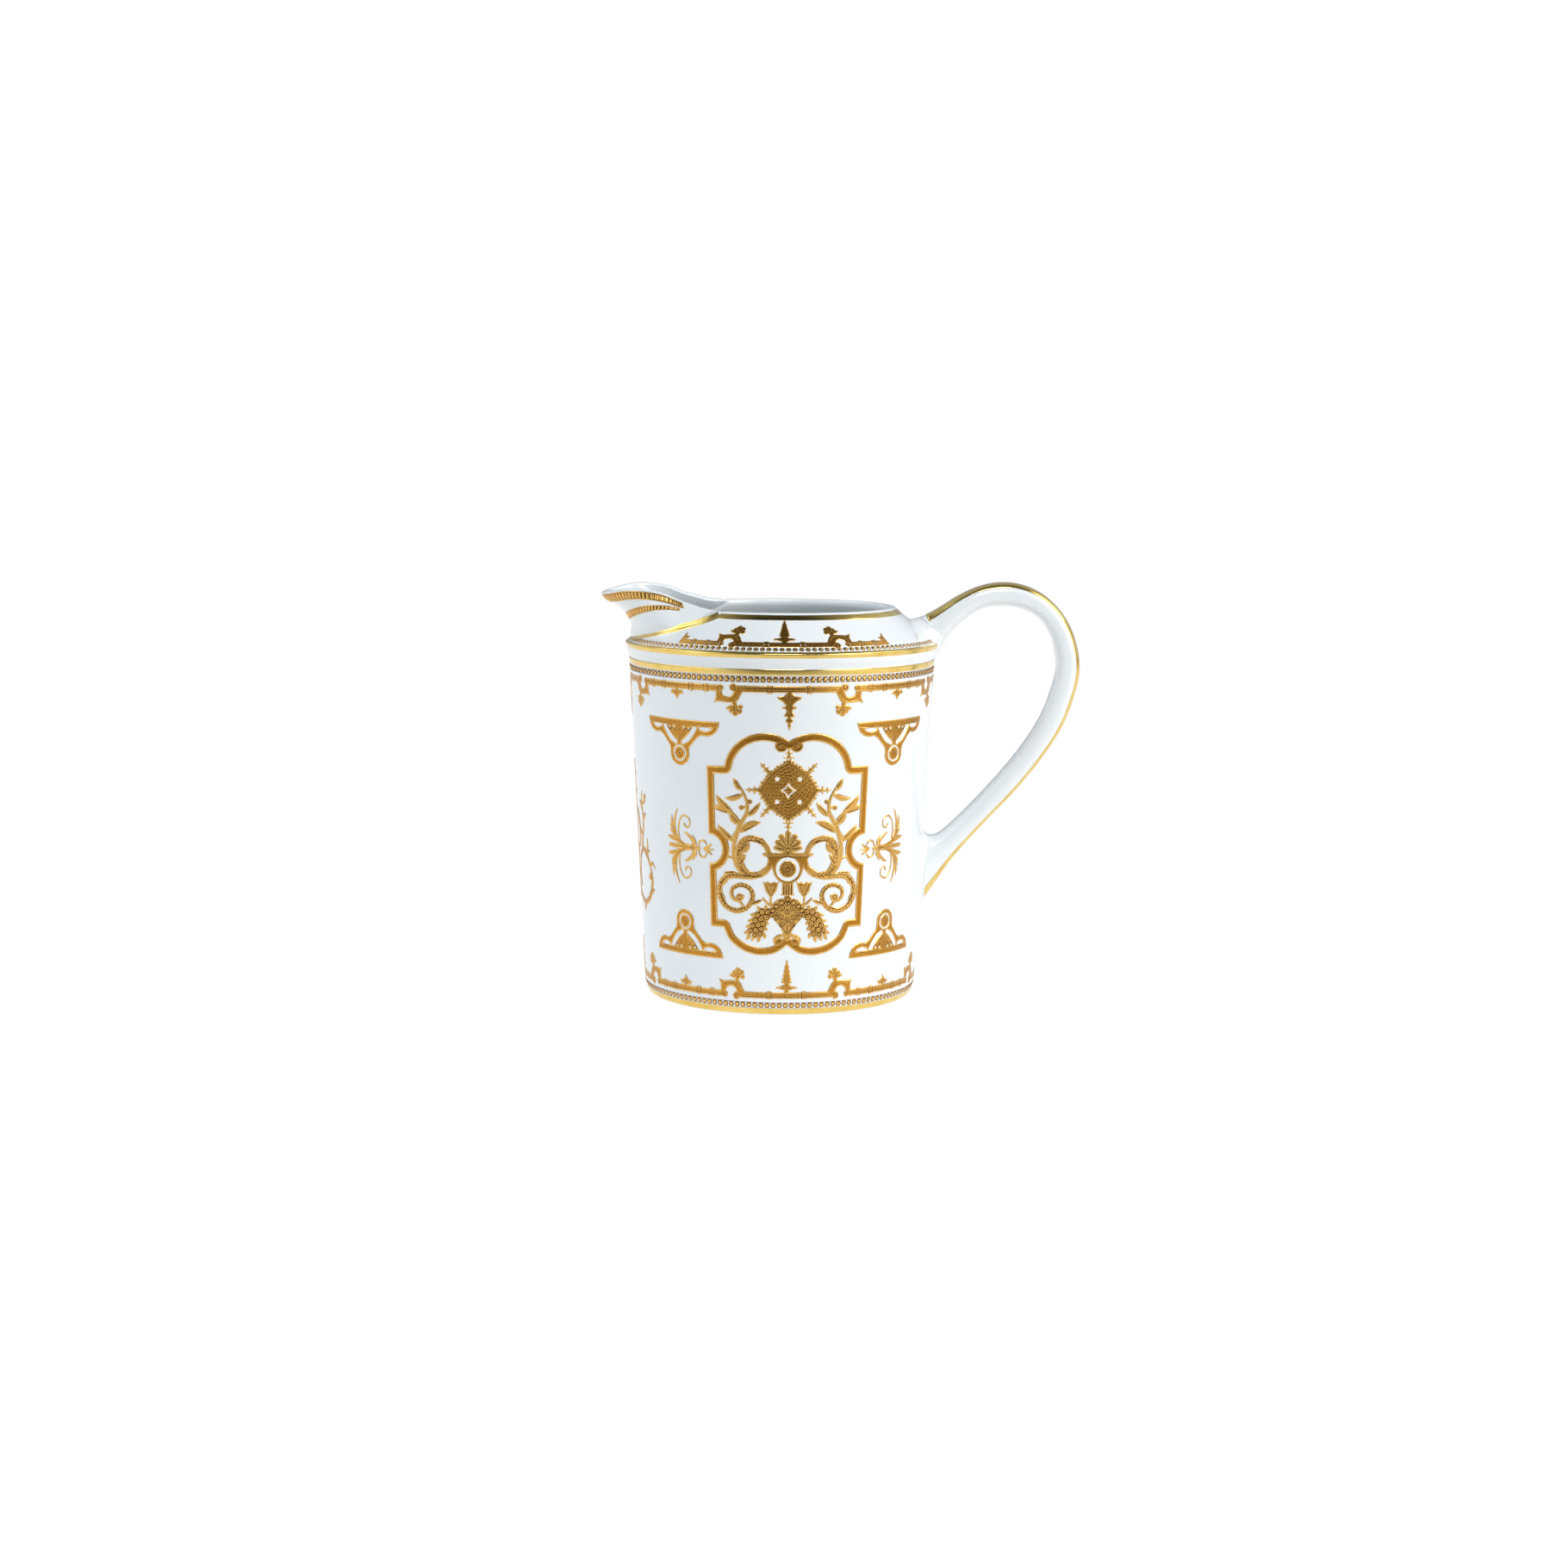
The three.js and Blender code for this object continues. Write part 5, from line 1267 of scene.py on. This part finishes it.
sp.painted_shade_groove(sp.line([(-13.0, 33.6), (-11.2, 35.3), (-8.6, 36.2), (-5.6, 34.0)], 0.08), -0.05)
sp.painted_shade_groove(sp.stroke([(0, 54.0), (0, 26.0)], [0.06, 0.1]), -0.05)
lay("spout_side_spray", sp.surface(0.6), [-90 + ORN_AZ])


# ------------------------------------------------------ floor, light and camera
def floor_material():
    """plain white floor; away from the camera's own view its glow falls off towards the front"""
    m, nt, b = new_material("floor_white")
    c = coords(nt)
    tint = ramp(nt, noise(nt, c, 3.0), [(0.3, (0.21, 0.215, 0.22)), (0.7, (0.24, 0.245, 0.25))])
    nt.links.new(tint, b.inputs["Base Color"])
    b.inputs["Roughness"].default_value = 0.8
    b.inputs["Specular IOR Level"].default_value = 0.1
    b.inputs["Emission Color"].default_value = (1.0, 1.0, 1.0, 1.0)
    d = nt.nodes.new("ShaderNodeVectorMath")
    d.operation = "DISTANCE"
    d.inputs[1].default_value = (-0.02, -0.50, 0.0)
    nt.links.new(c, d.inputs[0])
    nt.links.new(spread(nt, d.outputs["Value"], 0.0, 0.78, 0.15, 0.45), b.inputs["Emission Strength"])
    white = nt.nodes.new("ShaderNodeEmission")
    white.inputs["Color"].default_value = (1.0, 1.0, 1.0, 1.0)
    path = nt.nodes.new("ShaderNodeLightPath")
    mix = nt.nodes.new("ShaderNodeMixShader")
    out = [n for n in nt.nodes if n.type == "OUTPUT_MATERIAL"][0]
    nt.links.new(path.outputs["Is Camera Ray"], mix.inputs["Fac"])
    nt.links.new(b.outputs["BSDF"], mix.inputs[1])
    nt.links.new(white.outputs["Emission"], mix.inputs[2])
    nt.links.new(mix.outputs["Shader"], out.inputs["Surface"])
    return m


def plane(name, corners, mat):
    me = bpy.data.meshes.new(name)
    me.from_pydata([Vector(c) for c in corners], [], [(0, 1, 2, 3)])
    o = bpy.data.objects.new(name, me)
    bpy.context.scene.collection.objects.link(o)
    me.materials.append(mat)
    return o


plane("studio_floor", [(-1.6, -0.8, 0), (1.6, -0.8, 0), (1.6, 1.6, 0), (-1.6, 1.6, 0)], floor_material())


def light(name, place, target, size, watts, colour, size_y=None):
    d = bpy.data.lights.new(name, "AREA")
    d.energy = watts
    d.color = colour
    d.size = size
    if size_y:
        d.shape = "RECTANGLE"
        d.size_y = size_y
    o = bpy.data.objects.new(name, d)
    bpy.context.scene.collection.objects.link(o)
    p = Vector(place)
    o.location = p
    o.rotation_euler = (Vector(target) - p).to_track_quat("-Z", "Y").to_euler()
    return o


light("key_right", (0.72, -0.55, 0.50), (0.0, 0.0, 0.05), 0.55, 5.6, (1.0, 0.985, 0.96), 0.8)
light("fill_left", (-0.80, -0.42, 0.42), (0.0, 0.0, 0.05), 0.45, 1.15, (0.86, 0.94, 1.0), 0.8)
light("front_high", (0.0, -0.62, 0.72), (0.0, 0.0, 0.06), 0.35, 2.5, (0.94, 0.975, 1.0))
light("top_left", (-0.62, 0.10, 0.60), (0.0, 0.0, 0.05), 0.45, 1.1, (0.88, 0.95, 1.0))
light("top_right", (0.62, 0.10, 0.62), (0.0, 0.0, 0.05), 0.45, 1.35, (1.0, 0.99, 0.97))
world = bpy.data.worlds.new("studio")
world.use_nodes = True
wt = world.node_tree
for n_ in list(wt.nodes):
    wt.nodes.remove(n_)
w_out = wt.nodes.new("ShaderNodeOutputWorld")
seen = wt.nodes.new("ShaderNodeBackground")
seen.inputs["Color"].default_value = (1.0, 1.0, 1.0, 1.0)
room = wt.nodes.new("ShaderNodeBackground")
room.inputs["Color"].default_value = (0.84, 0.92, 1.0, 1.0)
axes = wt.nodes.new("ShaderNodeSeparateXYZ")
wt.links.new(wt.nodes.new("ShaderNodeTexCoord").outputs["Generated"], axes.inputs["Vector"])
flank = wt.nodes.new("ShaderNodeMath")
flank.operation = "ABSOLUTE"
wt.links.new(axes.outputs["X"], flank.inputs[0])
total = wt.nodes.new("ShaderNodeMath")
total.operation = "ADD"
wt.links.new(spread(wt, flank.outputs["Value"], 0.03, 0.50, 0.22, 0.80), total.inputs[0])
wt.links.new(spread(wt, axes.outputs["Y"], 0.0, 0.42, 0.15, 0.75), total.inputs[1])
wt.links.new(total.outputs["Value"], room.inputs["Strength"])
pathw = wt.nodes.new("ShaderNodeLightPath")
mixw = wt.nodes.new("ShaderNodeMixShader")
wt.links.new(pathw.outputs["Is Camera Ray"], mixw.inputs["Fac"])
wt.links.new(room.outputs["Background"], mixw.inputs[1])
wt.links.new(seen.outputs["Background"], mixw.inputs[2])
wt.links.new(mixw.outputs["Shader"], w_out.inputs["Surface"])
bpy.context.scene.world = world
bpy.context.scene.view_settings.view_transform = "Standard"

pitch, yaw, roll = math.radians(7.35), math.radians(0.06), math.radians(0.46)
fwd = Vector((math.sin(yaw) * math.cos(pitch), math.cos(yaw) * math.cos(pitch), -math.sin(pitch)))
right = Vector((math.cos(yaw), -math.sin(yaw), 0.0))
upv = right.cross(fwd)
r2 = right * math.cos(roll) + upv * math.sin(roll)
u2 = -right * math.sin(roll) + upv * math.cos(roll)
cam = bpy.data.cameras.new("camera")
cam.lens = 66.74
cam.sensor_width = 36.0
cam.clip_start = 0.01
cam.dof.use_dof = False
co = bpy.data.objects.new("camera", cam)
bpy.context.scene.collection.objects.link(co)
co.matrix_world = Matrix(((r2.x, u2.x, -fwd.x, AXIS_X * 0.001), (r2.y, u2.y, -fwd.y, -0.7057), (r2.z, u2.z, -fwd.z, 0.1421), (0, 0, 0, 1)))
bpy.context.scene.camera = co
